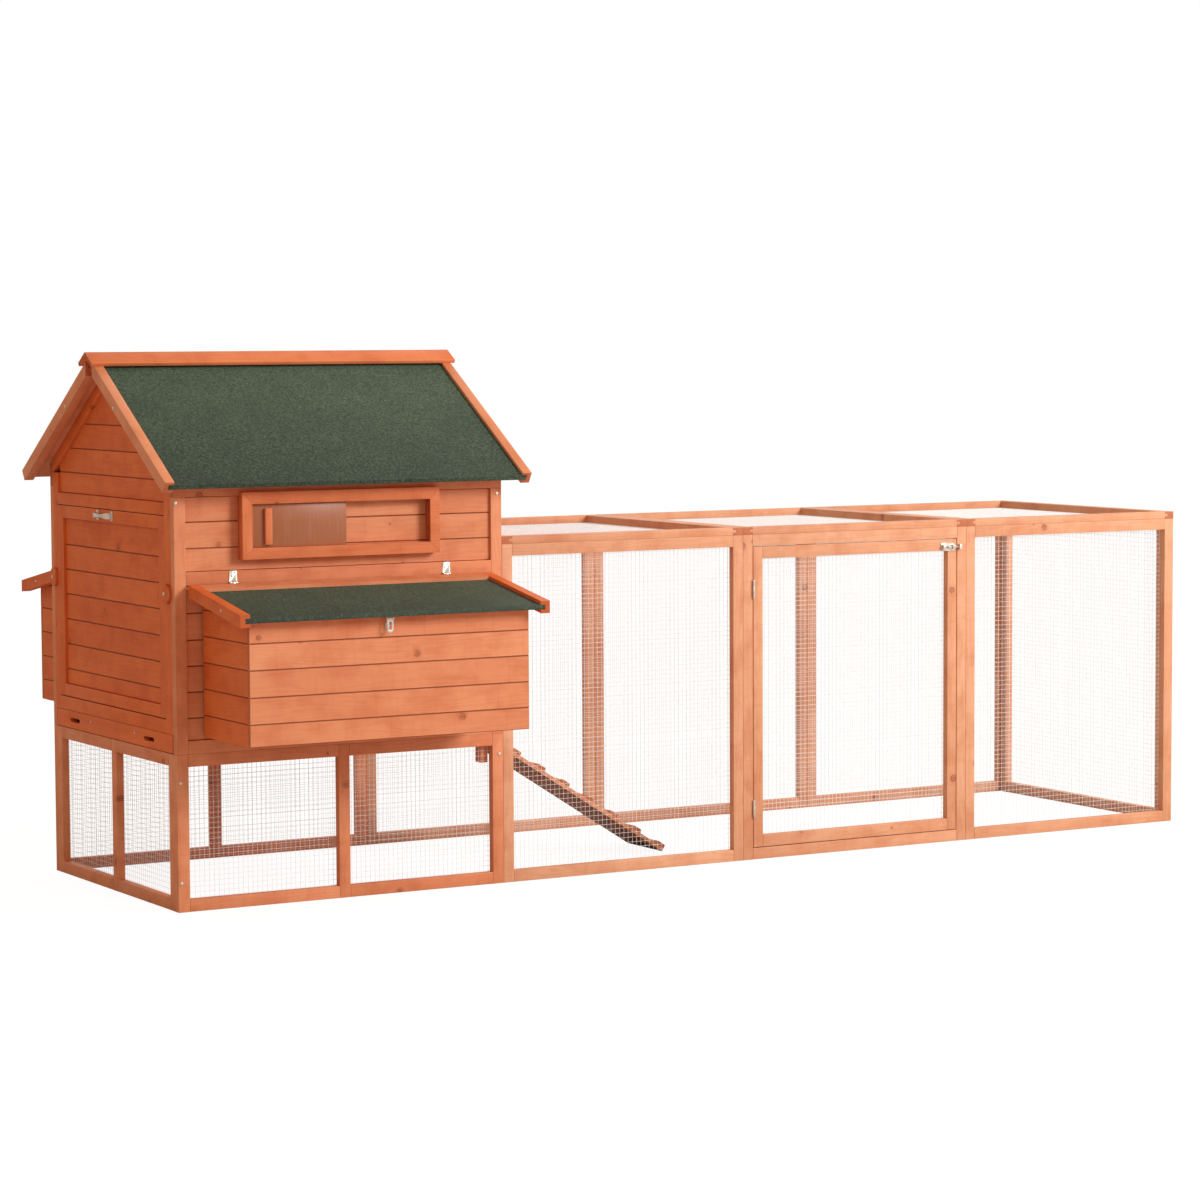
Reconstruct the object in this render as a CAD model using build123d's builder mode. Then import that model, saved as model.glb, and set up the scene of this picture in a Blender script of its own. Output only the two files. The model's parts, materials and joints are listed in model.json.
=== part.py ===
"""Chicken coop: a raised house with nest boxes and a wire run of three sections.

Millimetres, +Z up. The origin is on the ground at the middle of the whole part.
X runs from the house to the far end of the run, and Y = 0 is the ridge line.
Lengths called x in the helpers are counted from the house's left face.
"""

import os
from math import atan
from math import atan2
from math import cos
from math import degrees
from math import sin

from build123d import *

# Driving dimensions
HOUSE_L = 886.0  # house, left face to right face
RUN_L = 715.0  # one run section
SECTIONS = 3
DEPTH = 798.0  # front face to back face
BASE_H = 380.0  # ground to the underside of the house
PANEL_H = 855.0  # run panels
W = 30.0  # timber face width
T = 20.0  # timber thickness
SEAM = 0.2  # open joint between two timbers
EASE = 0.8  # eased timber edges
SHEET = 1.0  # sheet that stands in for wire mesh

# House walls
MID_RAIL = 785.0  # underside of the rail the nest lid hangs on
TOP_RAIL = 997.0  # underside of the wall's top rail
PLANK_T = 10.0
PLANK_IN = 8.0  # planks set back from the frame's face
PLANK_EDGE = 1.6  # bevel beside each plank joint
PITCH = 63.0

# Roof
SLOPE = atan(0.628)
ROOF_TOP = 1329.5  # top line of the barge boards, carried up to the ridge
EAVE = 468.0  # barge board's lower end, from the ridge line
OVERHANG = 50.0  # barge boards' outer faces past the gables
BARGE_W = 25.0
BARGE_H = 30.0
LIP = 8.0
PANEL_T = 12.0
FELT_T = 2.0
CAP_T = 10.0
CAP_X = 60.0  # ridge cap past the gables

# Nest box and its lid
NEST_X = (72.0, 814.0)
NEST_OUT = 268.0  # out from the wall's face
NEST_Z = 420.0
BOARD = 12.0
LID_X = (33.0, 853.0)
LID_OUT = 305.0
LID_TOP = 788.0  # lid's top line at the wall's face
LID_FALL = 0.175

# Window
WIN_X = (170.0, 702.0)
WIN_Z = (843.0, 1005.0)
SIGHT_X = (197.0, 677.0)
SIGHT_Z = (870.0, 976.0)
WIN_OUT = 20.0
PANE_TRAVEL = 228.0

# Gable door, tray, ramp
DOOR_Z = (463.0, 950.0)
DOOR_Y = (-337.5, 347.5)
PIVOT = (4.0, 467.0)
TRAY_Z = (382.0, 426.0)
RAMP_Y = (-149.0, 31.0)
RAMP_SLOPE = atan(0.635)
RAMP_LONG = 728.7
RAMP_PITCH = 86.0
RAMP_T = 10.0

HALF = DEPTH / 2
RUN_END = HOUSE_L + SECTIONS * RUN_L
LEFT = -(RUN_END - CAP_X) / 2
INNER = HALF - T


def timber(x, y, z, ease=EASE):
    """Adds one timber that fills the given x, y and z spans, with its long edges eased."""
    spans = ((x[0] + LEFT, x[1] + LEFT), y, z)
    size = [high - low for low, high in spans]
    middle = tuple((low + high) / 2 for low, high in spans)
    along = size.index(max(size))
    face = (Plane.YZ, Plane.XZ, Plane.XY)[along]
    across = [length for axis, length in enumerate(size) if axis != along]
    with BuildSketch(Plane(middle, x_dir=face.x_dir, z_dir=face.z_dir)) as section:
        Rectangle(across[0], across[1])
        chamfer(section.vertices(), ease)
    extrude(section.sketch, amount=size[along] / 2, both=True)


def frame(x, y, z, stile=W, rail=W):
    """Adds a frame of two full-height stiles and two rails that lies in the XZ plane."""
    timber((x[0], x[0] + stile), y, z)
    timber((x[1] - stile, x[1]), y, z)
    inside = (x[0] + stile + SEAM, x[1] - stile - SEAM)
    timber(inside, y, (z[0], z[0] + rail))
    timber(inside, y, (z[1] - rail, z[1]))


def cylinder(x, y, z, radius, length, axis, mode=Mode.ADD):
    """Adds a cylinder centred on a point, along the axis X, Y or Z."""
    face = {"X": Plane.YZ, "Y": Plane.XZ, "Z": Plane.XY}[axis]
    centre = Plane((x + LEFT, y, z), x_dir=face.x_dir, z_dir=face.z_dir)
    with Locations(centre):
        Cylinder(radius, length, mode=mode)


def block(x, y, z, mode=Mode.ADD):
    """Adds a plain box that fills the given x, y and z spans."""
    middle = ((x[0] + x[1]) / 2 + LEFT, (y[0] + y[1]) / 2, (z[0] + z[1]) / 2)
    with Locations(middle):
        Box(x[1] - x[0], y[1] - y[0], z[1] - z[0], mode=mode)


def screw(x, y, z, outward):
    """Adds one pan-head screw whose head stands 2 mm out from its face."""
    centre = Plane((x + LEFT, y, z), z_dir=outward)
    with Locations(centre.offset(0.85)):
        Cylinder(4.0, 1.7)


def across_roof(distance, drop):
    """Returns Y and Z of a point at a distance out from the ridge and square below the top."""
    return (distance, ROOF_TOP - distance * 0.628 - drop / cos(SLOPE))


def lid_z(out, drop=0.0):
    """Returns the height of the nest lid's top line, less a drop, at a distance from the wall."""
    return LID_TOP - LID_FALL * out - drop


# ---------------------------------------------------------------- base frame
with BuildPart() as base_front:
    for low in (0.0, 428.0, HOUSE_L - W):
        timber((low, low + W), (-HALF, -INNER), (0.0, BASE_H))
    for low, high in ((W, 428.0), (428.0 + W, HOUSE_L - W)):
        for foot in (0.0, BASE_H - W):
            timber((low + SEAM, high - SEAM), (-HALF, -INNER), (foot, foot + W))
    timber((832.0, 855.0), (-INNER + SHEET + SEAM, -INNER + W), (306.0, 349.0), 3.0)

with BuildPart() as base_back:
    mirror(base_front.part, about=Plane.XZ)

with BuildPart() as base_left:
    for low in (-INNER + SEAM, -18.0, INNER - W - SEAM):
        timber((0.0, T), (low, low + W), (0.0, BASE_H))
    for low, high in ((-INNER + W, -18.0), (12.0, INNER - W)):
        for foot in (0.0, BASE_H - W):
            timber((0.0, T), (low + 2 * SEAM, high - 2 * SEAM), (foot, foot + W))

with BuildPart() as base_mesh:
    for side in (-1, 1):
        near, far = sorted((side * INNER, side * (INNER - SHEET)))
        block((T + 2.0, HOUSE_L - 4.0), (near, far), (4.0, BASE_H - 4.0))
    block((T, T + SHEET), (-INNER + 4.0, INNER - 4.0), (4.0, BASE_H - 4.0))

# ---------------------------------------------------------------- front and back walls
with BuildPart() as wall_front:
    eave_z = across_roof(HALF, BARGE_H - LIP - 2.0)[1]
    for low in (0.0, HOUSE_L - W):
        timber((low, low + W), (-HALF, -INNER), (BASE_H + SEAM, TOP_RAIL - SEAM))
    for foot, head in ((BASE_H + SEAM, 412.0), (MID_RAIL, MID_RAIL + 32.0)):
        timber((W + SEAM, HOUSE_L - W - SEAM), (-HALF, -INNER), (foot, head))
    timber((0.0, HOUSE_L), (-HALF, -INNER), (TOP_RAIL, eave_z - 2.0))

with BuildPart() as wall_back:
    mirror(wall_front.part, about=Plane.XZ)

PLANK_Y = (-HALF + PLANK_IN, -HALF + PLANK_IN + PLANK_T)
LOWER = (412.0, 466.0, 528.5, 591.0, 653.5, 718.0, MID_RAIL)
UPPER = (MID_RAIL + 32.0, 873.0, 936.0, TOP_RAIL)
NEST_DOOR = (100.0, 786.0)
HOLE_X = (SIGHT_X[0], 437.0)

with BuildPart() as planks_front:
    for foot, head in zip(LOWER, LOWER[1:]):
        for low, high in ((W, NEST_DOOR[0]), (NEST_DOOR[1], HOUSE_L - W)):
            rise = (foot + SEAM, head - SEAM)
            timber((low + SEAM, high - SEAM), PLANK_Y, rise, PLANK_EDGE)
    timber((NEST_DOOR[0] + SEAM, NEST_DOOR[1] - SEAM), PLANK_Y, (412.2, 419.6))
    timber((W + SEAM, HOUSE_L - W - SEAM), PLANK_Y, (UPPER[0] + SEAM, UPPER[1]), PLANK_EDGE)
    for foot, head in zip(UPPER[1:], UPPER[2:]):
        for low, high in ((W, HOLE_X[0]), (HOLE_X[1], HOUSE_L - W)):
            rise = (foot + SEAM, head - SEAM)
            timber((low + SEAM, high - SEAM), PLANK_Y, rise, PLANK_EDGE)
    timber((HOLE_X[0] + SEAM, HOLE_X[1] - SEAM), PLANK_Y, (SIGHT_Z[1], TOP_RAIL - SEAM))

with BuildPart() as planks_back:
    for foot, head in zip(LOWER, LOWER[1:]):
        for low, high in ((W, NEST_DOOR[0]), (NEST_DOOR[1], HOUSE_L - W)):
            rise = (foot + SEAM, head - SEAM)
            depth = (-PLANK_Y[1], -PLANK_Y[0])
            timber((low + SEAM, high - SEAM), depth, rise, PLANK_EDGE)
    timber((NEST_DOOR[0] + SEAM, NEST_DOOR[1] - SEAM), (-PLANK_Y[1], -PLANK_Y[0]), (412.2, 419.6))
    for foot, head in zip(UPPER, UPPER[1:]):
        rise = (foot + SEAM, head - SEAM)
        depth = (-PLANK_Y[1], -PLANK_Y[0])
        timber((W + SEAM, HOUSE_L - W - SEAM), depth, rise, PLANK_EDGE)

# ---------------------------------------------------------------- gables
RAFTER = (BARGE_H - LIP - 1.8, BARGE_H - LIP - 1.8 + W)  # square below the top line
STILE_Y = (-INNER + SEAM, -INNER + 40.0)
REAR_Y = (INNER - W, INNER - SEAM)


def rafters():
    """Draws the two rafters of a gable in the current sketch, with a seam at the ridge."""
    for side in (-1, 1):
        top_in = across_roof(SEAM, RAFTER[0])
        top_out = across_roof(INNER - SEAM, RAFTER[0])
        low_out = across_roof(INNER - SEAM, RAFTER[1])
        low_in = across_roof(SEAM, RAFTER[1])
        corners = [(side * y, z) for y, z in (top_in, top_out, low_out, low_in)]
        Polygon(*corners, align=None)


def under_rafters(foot, front, rear):
    """Draws the gable's field below the rafters, from a foot height between two Y limits."""
    peak = across_roof(0.0, RAFTER[1] + 0.4)
    front_top = across_roof(-front, RAFTER[1] + 0.4)[1]
    rear_top = across_roof(rear, RAFTER[1] + 0.4)[1]
    Polygon((front, foot), (rear, foot), (rear, rear_top), peak, (front, front_top), align=None)


with BuildPart() as gable_left:
    with BuildSketch(Plane.YZ.offset(LEFT)):
        rafters()
    extrude(amount=T)
    for y in (STILE_Y, REAR_Y):
        outer = max(-y[0], y[1])
        top = across_roof(outer, RAFTER[1])[1] - SEAM
        timber((0.0, T), y, (427.0, top))
    for foot, head in ((427.0, 460.0), (952.0, 982.0)):
        timber((0.0, T), (STILE_Y[1] + SEAM, REAR_Y[0] - SEAM), (foot, head))
    for y in (STILE_Y[1] - 4.0, REAR_Y[0] + 4.0):
        cylinder(PIVOT[0], y, PIVOT[1], 2.55, 9.0, "Y", Mode.SUBTRACT)

with BuildPart() as gable_left_planks:
    with BuildSketch(Plane.YZ.offset(LEFT + PLANK_IN)):
        under_rafters(982.0 + SEAM, STILE_Y[1] + SEAM, REAR_Y[0] - SEAM)
        for line in (1035.0, 1097.0, 1160.0):
            with Locations((0.0, line)):
                Rectangle(DEPTH, SEAM, mode=Mode.SUBTRACT)
    extrude(amount=PLANK_T)
    chamfer(gable_left_planks.edges().filter_by(Axis.Y).group_by(Axis.X)[0], PLANK_EDGE)

POP_Y = (-169.0, 51.0)
POP_Z = (392.0, 680.0)

with BuildPart() as gable_right:
    with BuildSketch(Plane.YZ.offset(LEFT + HOUSE_L - T)):
        rafters()
    extrude(amount=T)
    for y in (STILE_Y, REAR_Y):
        outer = max(-y[0], y[1])
        top = across_roof(outer, RAFTER[1])[1] - SEAM
        timber((HOUSE_L - T, HOUSE_L), y, (BASE_H + SEAM, top))
    for low in (POP_Y[0] - W, POP_Y[1]):
        timber((HOUSE_L - T, HOUSE_L), (low, low + W), (POP_Z[0], 877.0 - SEAM))
    timber((HOUSE_L - T, HOUSE_L), (POP_Y[0] + SEAM, POP_Y[1] - SEAM), (POP_Z[1], POP_Z[1] + W))
    timber((HOUSE_L - T, HOUSE_L), (STILE_Y[1] + SEAM, REAR_Y[0] - SEAM), (877.0, 907.0))
    timber((HOUSE_L - T, HOUSE_L), (STILE_Y[1] + SEAM, REAR_Y[0] - SEAM), (BASE_H + SEAM, 391.8))

with BuildPart() as gable_right_planks:
    with BuildSketch(Plane.YZ.offset(LEFT + HOUSE_L - PLANK_IN)):
        under_rafters(392.0, STILE_Y[1] + SEAM, REAR_Y[0] - SEAM)
        with Locations((0.0, 892.0)):
            Rectangle(DEPTH, W + 2 * SEAM, mode=Mode.SUBTRACT)
        for line in range(1, 14):
            with Locations((0.0, 392.0 + line * PITCH)):
                Rectangle(DEPTH, SEAM, mode=Mode.SUBTRACT)
        middle = (POP_Y[0] + POP_Y[1]) / 2
        width = POP_Y[1] - POP_Y[0] + 2 * W + 2 * SEAM
        with Locations((middle, (POP_Z[0] + 877.0) / 2 - 50.0)):
            Rectangle(width, 877.0 - POP_Z[0] + 100.0, mode=Mode.SUBTRACT)
        with Locations((middle, (POP_Z[1] + W + 877.0) / 2)):
            Rectangle(POP_Y[1] - POP_Y[0] - 2 * SEAM, 877.0 - POP_Z[1] - W - 2 * SEAM)
    extrude(amount=-PLANK_T)

# ---------------------------------------------------------------- inside the house
with BuildPart() as house_floor:
    block((T + 2.0, HOUSE_L - T - SEAM), (-INNER + SEAM, INNER - SEAM), (BASE_H + SEAM, 390.0))

with BuildPart() as roosts:
    timber((50.0, 80.0), (-INNER + SEAM, INNER - SEAM), (530.0, 560.0), 3.0)
    for y in (120.0, 250.0):
        timber((40.0, HOUSE_L - T - SEAM), (y, y + 32.0), (560.2, 592.0), 5.0)
        timber((HOUSE_L - T - 34.0, HOUSE_L - T - SEAM), (y - 4.0, y + 36.0), (535.0, 560.0))

# ---------------------------------------------------------------- roof
PANEL_END = EAVE - 3.0


def strip(side, start, end, top, bottom):
    """Draws a strip along one roof slope between two distances and two depths below the top."""
    corners = [
        across_roof(start, top),
        across_roof(end, top),
        across_roof(end - (bottom - top) * sin(SLOPE), bottom),
        across_roof(start, bottom),
    ]
    Polygon(*[(side * y, z) for y, z in corners], align=None)


PANEL_X = (-OVERHANG + BARGE_W - 13.0, HOUSE_L + OVERHANG - BARGE_W + 13.0)

with BuildPart() as roof_boards:
    with BuildSketch(Plane.YZ.offset(LEFT + PANEL_X[0] + SEAM)):
        for side in (-1, 1):
            strip(side, 1.0, PANEL_END - FELT_T, LIP + FELT_T, LIP + PANEL_T)
    extrude(amount=PANEL_X[1] - PANEL_X[0] - 2 * SEAM)

with BuildPart() as roof_felt:
    with BuildSketch(Plane.YZ.offset(LEFT + PANEL_X[0] + SEAM)):
        for side in (-1, 1):
            strip(side, 1.0, PANEL_END, LIP, LIP + PANEL_T)
    extrude(amount=PANEL_X[1] - PANEL_X[0] - 2 * SEAM)
    with BuildSketch(Plane.YZ.offset(LEFT + PANEL_X[0] - 1.0)):
        for side in (-1, 1):
            strip(side, 0.0, PANEL_END - FELT_T, LIP + FELT_T, LIP + PANEL_T + 1.0)
    extrude(amount=PANEL_X[1] - PANEL_X[0] + 2.0, mode=Mode.SUBTRACT)

with BuildPart() as roof_barges:
    for face, toward in ((-OVERHANG, 1), (HOUSE_L + OVERHANG, -1)):
        with BuildSketch(Plane.YZ.offset(LEFT + face)):
            for side in (-1, 1):
                strip(side, 21.0, EAVE, 0.0, BARGE_H)
        extrude(amount=toward * BARGE_W)
        with BuildSketch(Plane.YZ.offset(LEFT + face + toward * (BARGE_W - 13.0))):
            for side in (-1, 1):
                strip(side, 0.0, EAVE + 9.0, LIP - 0.1, LIP + PANEL_T + 0.1)
        extrude(amount=toward * 14.0, mode=Mode.SUBTRACT)

with BuildPart() as ridge_cap:
    with BuildSketch(Plane.YZ.offset(LEFT - CAP_X)):
        for side in (-1, 1):
            top_in = across_roof(SEAM, -CAP_T)
            low_in = across_roof(SEAM, -0.1)
            low_out = across_roof(38.0, -0.1)
            top_out = across_roof(38.0 + CAP_T * sin(SLOPE), -CAP_T)
            corners = [(side * y, z) for y, z in (top_in, top_out, low_out, low_in)]
            Polygon(*corners, align=None)
    extrude(amount=HOUSE_L + 2 * CAP_X)

# ---------------------------------------------------------------- window
FACE = -HALF
PANE_Y = (FACE - 9.0, FACE - 5.0)

with BuildPart() as window_frame:
    middle_x = (WIN_X[0] + WIN_X[1]) / 2 + LEFT
    middle_z = (WIN_Z[0] + WIN_Z[1]) / 2
    sight_z = (SIGHT_Z[0] + SIGHT_Z[1]) / 2
    with BuildSketch(Plane.XZ.offset(-FACE + SEAM)):
        with Locations((middle_x, middle_z)):
            Rectangle(WIN_X[1] - WIN_X[0], WIN_Z[1] - WIN_Z[0])
        with Locations((middle_x, sight_z)):
            Rectangle(SIGHT_X[1] - SIGHT_X[0], SIGHT_Z[1] - SIGHT_Z[0], mode=Mode.SUBTRACT)
        for end_x, inner_x in zip(WIN_X, SIGHT_X):
            for end_z, inner_z in zip(WIN_Z, SIGHT_Z):
                middle = ((end_x + inner_x) / 2 + LEFT, (end_z + inner_z) / 2)
                turn = degrees(atan2(end_z - inner_z, end_x - inner_x))
                with Locations(Location(middle, turn)):
                    Rectangle(40.0, 2 * SEAM, mode=Mode.SUBTRACT)
    extrude(amount=WIN_OUT - SEAM)
    block((190.0, 684.0), (PANE_Y[0] - 0.5, PANE_Y[1] + 0.5), (864.0, 982.0), Mode.SUBTRACT)
    for x in ((WIN_X[0], SIGHT_X[0]), (SIGHT_X[1], WIN_X[1])):
        block(x, (FACE + SEAM, PLANK_Y[0]), (WIN_Z[0], TOP_RAIL - SEAM))
    block((SIGHT_X[0], SIGHT_X[1]), (FACE + SEAM, PLANK_Y[0]), (WIN_Z[0], SIGHT_Z[0]))
    block((SIGHT_X[0], SIGHT_X[1]), (FACE + SEAM, PLANK_Y[0]), (SIGHT_Z[1], TOP_RAIL - SEAM))

with BuildPart() as window_mesh:
    block((190.0, 444.0), (PLANK_Y[1], PLANK_Y[1] + SHEET), (868.0, 984.0))

with BuildPart() as window_pane:
    block((191.0, 451.0), PANE_Y, (865.0, 981.0))

with BuildPart() as window_grip:
    timber((231.0, 250.0), (PANE_Y[0] - 9.0, PANE_Y[0]), (877.0, 965.0), 1.5)

# ---------------------------------------------------------------- nest box and lid, front
NEST_FRONT = FACE - NEST_OUT
NEST_ROWS = (473.0, 536.0, 600.0, 663.0)
UNDER_LID = 9.0 + PANEL_T * 1.02 + 1.5
HINGES = ((141.5, 162.0), (718.5, 739.0))
AXIS_Y = FACE - 3.9
AXIS_Z = 788.0
KNUCKLE = 3.2
STRIP_Y = (FACE - 43.0, FACE - 8.0)


def lid_band(near, far, top, bottom):
    """Draws a band of the lid's side view between two distances out and two drops."""
    corners = [
        (FACE - near, lid_z(near, top)),
        (FACE - far, lid_z(far, top)),
        (FACE - far, lid_z(far, bottom)),
        (FACE - near, lid_z(near, bottom)),
    ]
    Polygon(*corners, align=None)


with BuildPart() as nest_front:
    rows = (NEST_Z,) + NEST_ROWS + (lid_z(NEST_OUT, UNDER_LID),)
    for foot, head in zip(rows, rows[1:]):
        depth = (NEST_FRONT, NEST_FRONT + BOARD)
        timber(NEST_X, depth, (foot + SEAM / 2, head - SEAM / 2), PLANK_EDGE)
    for near in (NEST_X[0], NEST_X[1] - BOARD):
        with BuildSketch(Plane.YZ.offset(LEFT + near)):
            outline = [
                (FACE - SEAM, NEST_Z),
                (FACE - SEAM, lid_z(SEAM, UNDER_LID)),
                (NEST_FRONT + BOARD + SEAM, lid_z(NEST_OUT - BOARD, UNDER_LID)),
                (NEST_FRONT + BOARD + SEAM, NEST_Z),
            ]
            Polygon(*outline, align=None)
            for line in NEST_ROWS + (726.0,):
                with Locations((FACE - NEST_OUT / 2, line)):
                    Rectangle(NEST_OUT * 2, SEAM, mode=Mode.SUBTRACT)
        extrude(amount=BOARD)
    ends = [LEFT + NEST_X[0], LEFT + NEST_X[1]]
    long_edges = nest_front.edges().filter_by(Axis.Y).filter_by(lambda edge: edge.length > NEST_OUT / 2)
    outside = long_edges.filter_by(lambda edge: min(abs(edge.center().X - end) for end in ends) < SEAM / 2)
    chamfer(outside.filter_by(lambda edge: edge.center().Z > NEST_Z + BOARD), PLANK_EDGE)
    inside = (NEST_X[0] + BOARD + SEAM, NEST_X[1] - BOARD - SEAM)
    depth = (NEST_FRONT + BOARD + SEAM, PLANK_Y[0])
    block(inside, depth, (NEST_Z, NEST_Z + 10.0))
    block((437.0, 449.0), depth, (NEST_Z + 10.0 + SEAM, 640.0))

with BuildPart() as nest_lid_front:
    with BuildSketch(Plane.YZ.offset(LEFT + LID_X[0] + 13.0)):
        lid_band(8.0, LID_OUT - 3.0, 9.0 + FELT_T, 9.0 + PANEL_T)
    extrude(amount=LID_X[1] - LID_X[0] - 26.0)
    for face, toward in ((LID_X[0], 1), (LID_X[1], -1)):
        with BuildSketch(Plane.YZ.offset(LEFT + face)):
            lid_band(8.0, LID_OUT, 0.0, BARGE_H)
        extrude(amount=toward * BARGE_W)
        with BuildSketch(Plane.YZ.offset(LEFT + face + toward * 12.8)):
            lid_band(0.0, LID_OUT + 9.0, 8.8, 9.2 + PANEL_T)
        extrude(amount=toward * 13.0, mode=Mode.SUBTRACT)
    with BuildSketch(Plane.YZ.offset(LEFT + LID_X[0] + 13.0)):
        lid_band(8.0, LID_OUT - 3.0, 9.0 + FELT_T, 9.0 + PANEL_T)
    extrude(amount=LID_X[1] - LID_X[0] - 26.0)
    with BuildSketch(Plane.YZ.offset(LEFT + LID_X[0] + BARGE_W + SEAM)):
        lid_band(8.0, 43.0, 0.0, 9.0 - SEAM)
    extrude(amount=LID_X[1] - LID_X[0] - 2 * BARGE_W - 2 * SEAM)

with BuildPart() as nest_felt_front:
    with BuildSketch(Plane.YZ.offset(LEFT + LID_X[0] + 13.0)):
        lid_band(8.0, LID_OUT - 1.0, 9.0, 9.0 + PANEL_T)
    extrude(amount=LID_X[1] - LID_X[0] - 26.0)
    with BuildSketch(Plane.YZ.offset(LEFT)):
        lid_band(0.0, LID_OUT - 3.0, 9.0 + FELT_T, 12.0 + PANEL_T)
    extrude(amount=HOUSE_L, mode=Mode.SUBTRACT)


def knuckles(x, share, axis_y, axis_z):
    """Adds the turned parts of a hinge along X; share lists (start, end) parts of its length."""
    length = x[1] - x[0]
    for start, end in share:
        middle = x[0] + length * (start + end) / 2
        cylinder(middle, axis_y, axis_z, KNUCKLE, length * (end - start), "X")


FIXED_SHARE = ((0.0, 0.3), (0.7, 1.0))
MOVING_SHARE = ((0.33, 0.67),)

with BuildPart() as lid_hinges_fixed:
    for x in HINGES:
        length = x[1] - x[0]
        block(x, (FACE - 1.5, FACE), (791.8, 819.0))
        for start, end in FIXED_SHARE:
            tab = (x[0] + start * length, x[0] + end * length)
            block(tab, (FACE - 1.5, FACE - 0.3), (AXIS_Z, 791.8))
        knuckles(x, FIXED_SHARE, AXIS_Y, AXIS_Z)
        middle = (x[0] + x[1]) / 2
        cylinder(middle, AXIS_Y, AXIS_Z, 1.6, length, "X")
    mirror(about=Plane.XZ)

with BuildPart() as lid_hinges_moving_front:
    for x in HINGES:
        length = x[1] - x[0]
        block(x, (FACE - 8.0, FACE - 6.8), (766.0, 784.0))
        tab = (x[0] + MOVING_SHARE[0][0] * length, x[0] + MOVING_SHARE[0][1] * length)
        block(tab, (FACE - 8.0, FACE - 6.0), (784.0, 789.0))
        knuckles(x, MOVING_SHARE, AXIS_Y, AXIS_Z)
        cylinder((x[0] + x[1]) / 2, AXIS_Y, AXIS_Z, 1.65, length, "X", Mode.SUBTRACT)

# ---------------------------------------------------------------- nest latch, front
LATCH_X = 430.0
LOOP_Y = FACE - 284.0
LOOP_Z = 708.5
LOOP_W = 17.0
LOOP_LOW = 675.0
SLOT_W = 9.0
SLOT_Z = (681.0, 701.0)
BARREL_R = 2.8
PIN_R = 1.4
PEG_Z = (689.0, 692.0)

with BuildPart() as latch_bracket_front:
    under = lid_z(284.0, 9.0 + PANEL_T)
    block((LATCH_X - 10.0, LATCH_X + 10.0), (LOOP_Y - 9.0, LOOP_Y + 9.0), (under - 3.4, under - 1.8))
    for low in (LATCH_X - 10.0, LATCH_X + 8.7):
        block((low, low + 1.3), (LOOP_Y - 2.8, LOOP_Y + 2.8), (LOOP_Z - 2.8, under - 2.0))
    cylinder(LATCH_X, LOOP_Y, LOOP_Z, PIN_R, 19.0, "X")

with BuildPart() as latch_loop_front:
    with BuildSketch(Plane.XZ.offset(-LOOP_Y - 1.0)):
        with Locations((LATCH_X + LEFT, (LOOP_LOW + LOOP_Z + LOOP_W) / 2)):
            SlotOverall(LOOP_Z + LOOP_W - LOOP_LOW, LOOP_W, rotation=90)
        with Locations((LATCH_X + LEFT, LOOP_Z + LOOP_W)):
            Rectangle(2 * LOOP_W, 2 * LOOP_W, mode=Mode.SUBTRACT)
        with Locations((LATCH_X + LEFT, sum(SLOT_Z) / 2)):
            SlotOverall(SLOT_Z[1] - SLOT_Z[0], SLOT_W, rotation=90, mode=Mode.SUBTRACT)
    extrude(amount=2.0)
    cylinder(LATCH_X, LOOP_Y, LOOP_Z, BARREL_R, 16.8, "X")
    cylinder(LATCH_X, LOOP_Y, LOOP_Z, PIN_R + 0.06, 20.0, "X", Mode.SUBTRACT)

with BuildPart() as latch_pegs:
    block((LATCH_X - 5.0, LATCH_X + 5.0), (NEST_FRONT - 1.5, NEST_FRONT), (683.5, 697.5))
    block((LATCH_X - 2.2, LATCH_X + 2.2), (NEST_FRONT - 12.0, NEST_FRONT - 1.6), PEG_Z)
    mirror(about=Plane.XZ)

with BuildPart() as nest_back:
    mirror(nest_front.part, about=Plane.XZ)
with BuildPart() as nest_lid_back:
    mirror(nest_lid_front.part, about=Plane.XZ)
with BuildPart() as nest_felt_back:
    mirror(nest_felt_front.part, about=Plane.XZ)
with BuildPart() as lid_hinges_moving_back:
    mirror(lid_hinges_moving_front.part, about=Plane.XZ)
with BuildPart() as latch_bracket_back:
    mirror(latch_bracket_front.part, about=Plane.XZ)
with BuildPart() as latch_loop_back:
    mirror(latch_loop_front.part, about=Plane.XZ)

# ---------------------------------------------------------------- gable door
DOOR_W = 32.0
DOOR_LINES = (532.0, 596.0, 660.0, 724.0, 787.0, 850.0)

with BuildPart() as gable_door:
    for low in (DOOR_Y[0], DOOR_Y[1] - DOOR_W):
        timber((0.0, T), (low, low + DOOR_W), DOOR_Z)
    across = (DOOR_Y[0] + DOOR_W + SEAM, DOOR_Y[1] - DOOR_W - SEAM)
    timber((0.0, T), across, (DOOR_Z[0], 493.0))
    timber((0.0, T), across, (918.0, DOOR_Z[1]))
    for y in (DOOR_Y[0] - 3.5, DOOR_Y[1] + 3.5):
        cylinder(PIVOT[0], y, PIVOT[1], 2.5, 9.0, "Y")

with BuildPart() as gable_door_planks:
    rows = (493.0,) + DOOR_LINES + (918.0,)
    for foot, head in zip(rows, rows[1:]):
        rise = (foot + SEAM, head - SEAM)
        timber((PLANK_IN, PLANK_IN + PLANK_T), across, rise, PLANK_EDGE)

HANDLE_Y = 31.0
HANDLE_Z = 936.0

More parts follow.
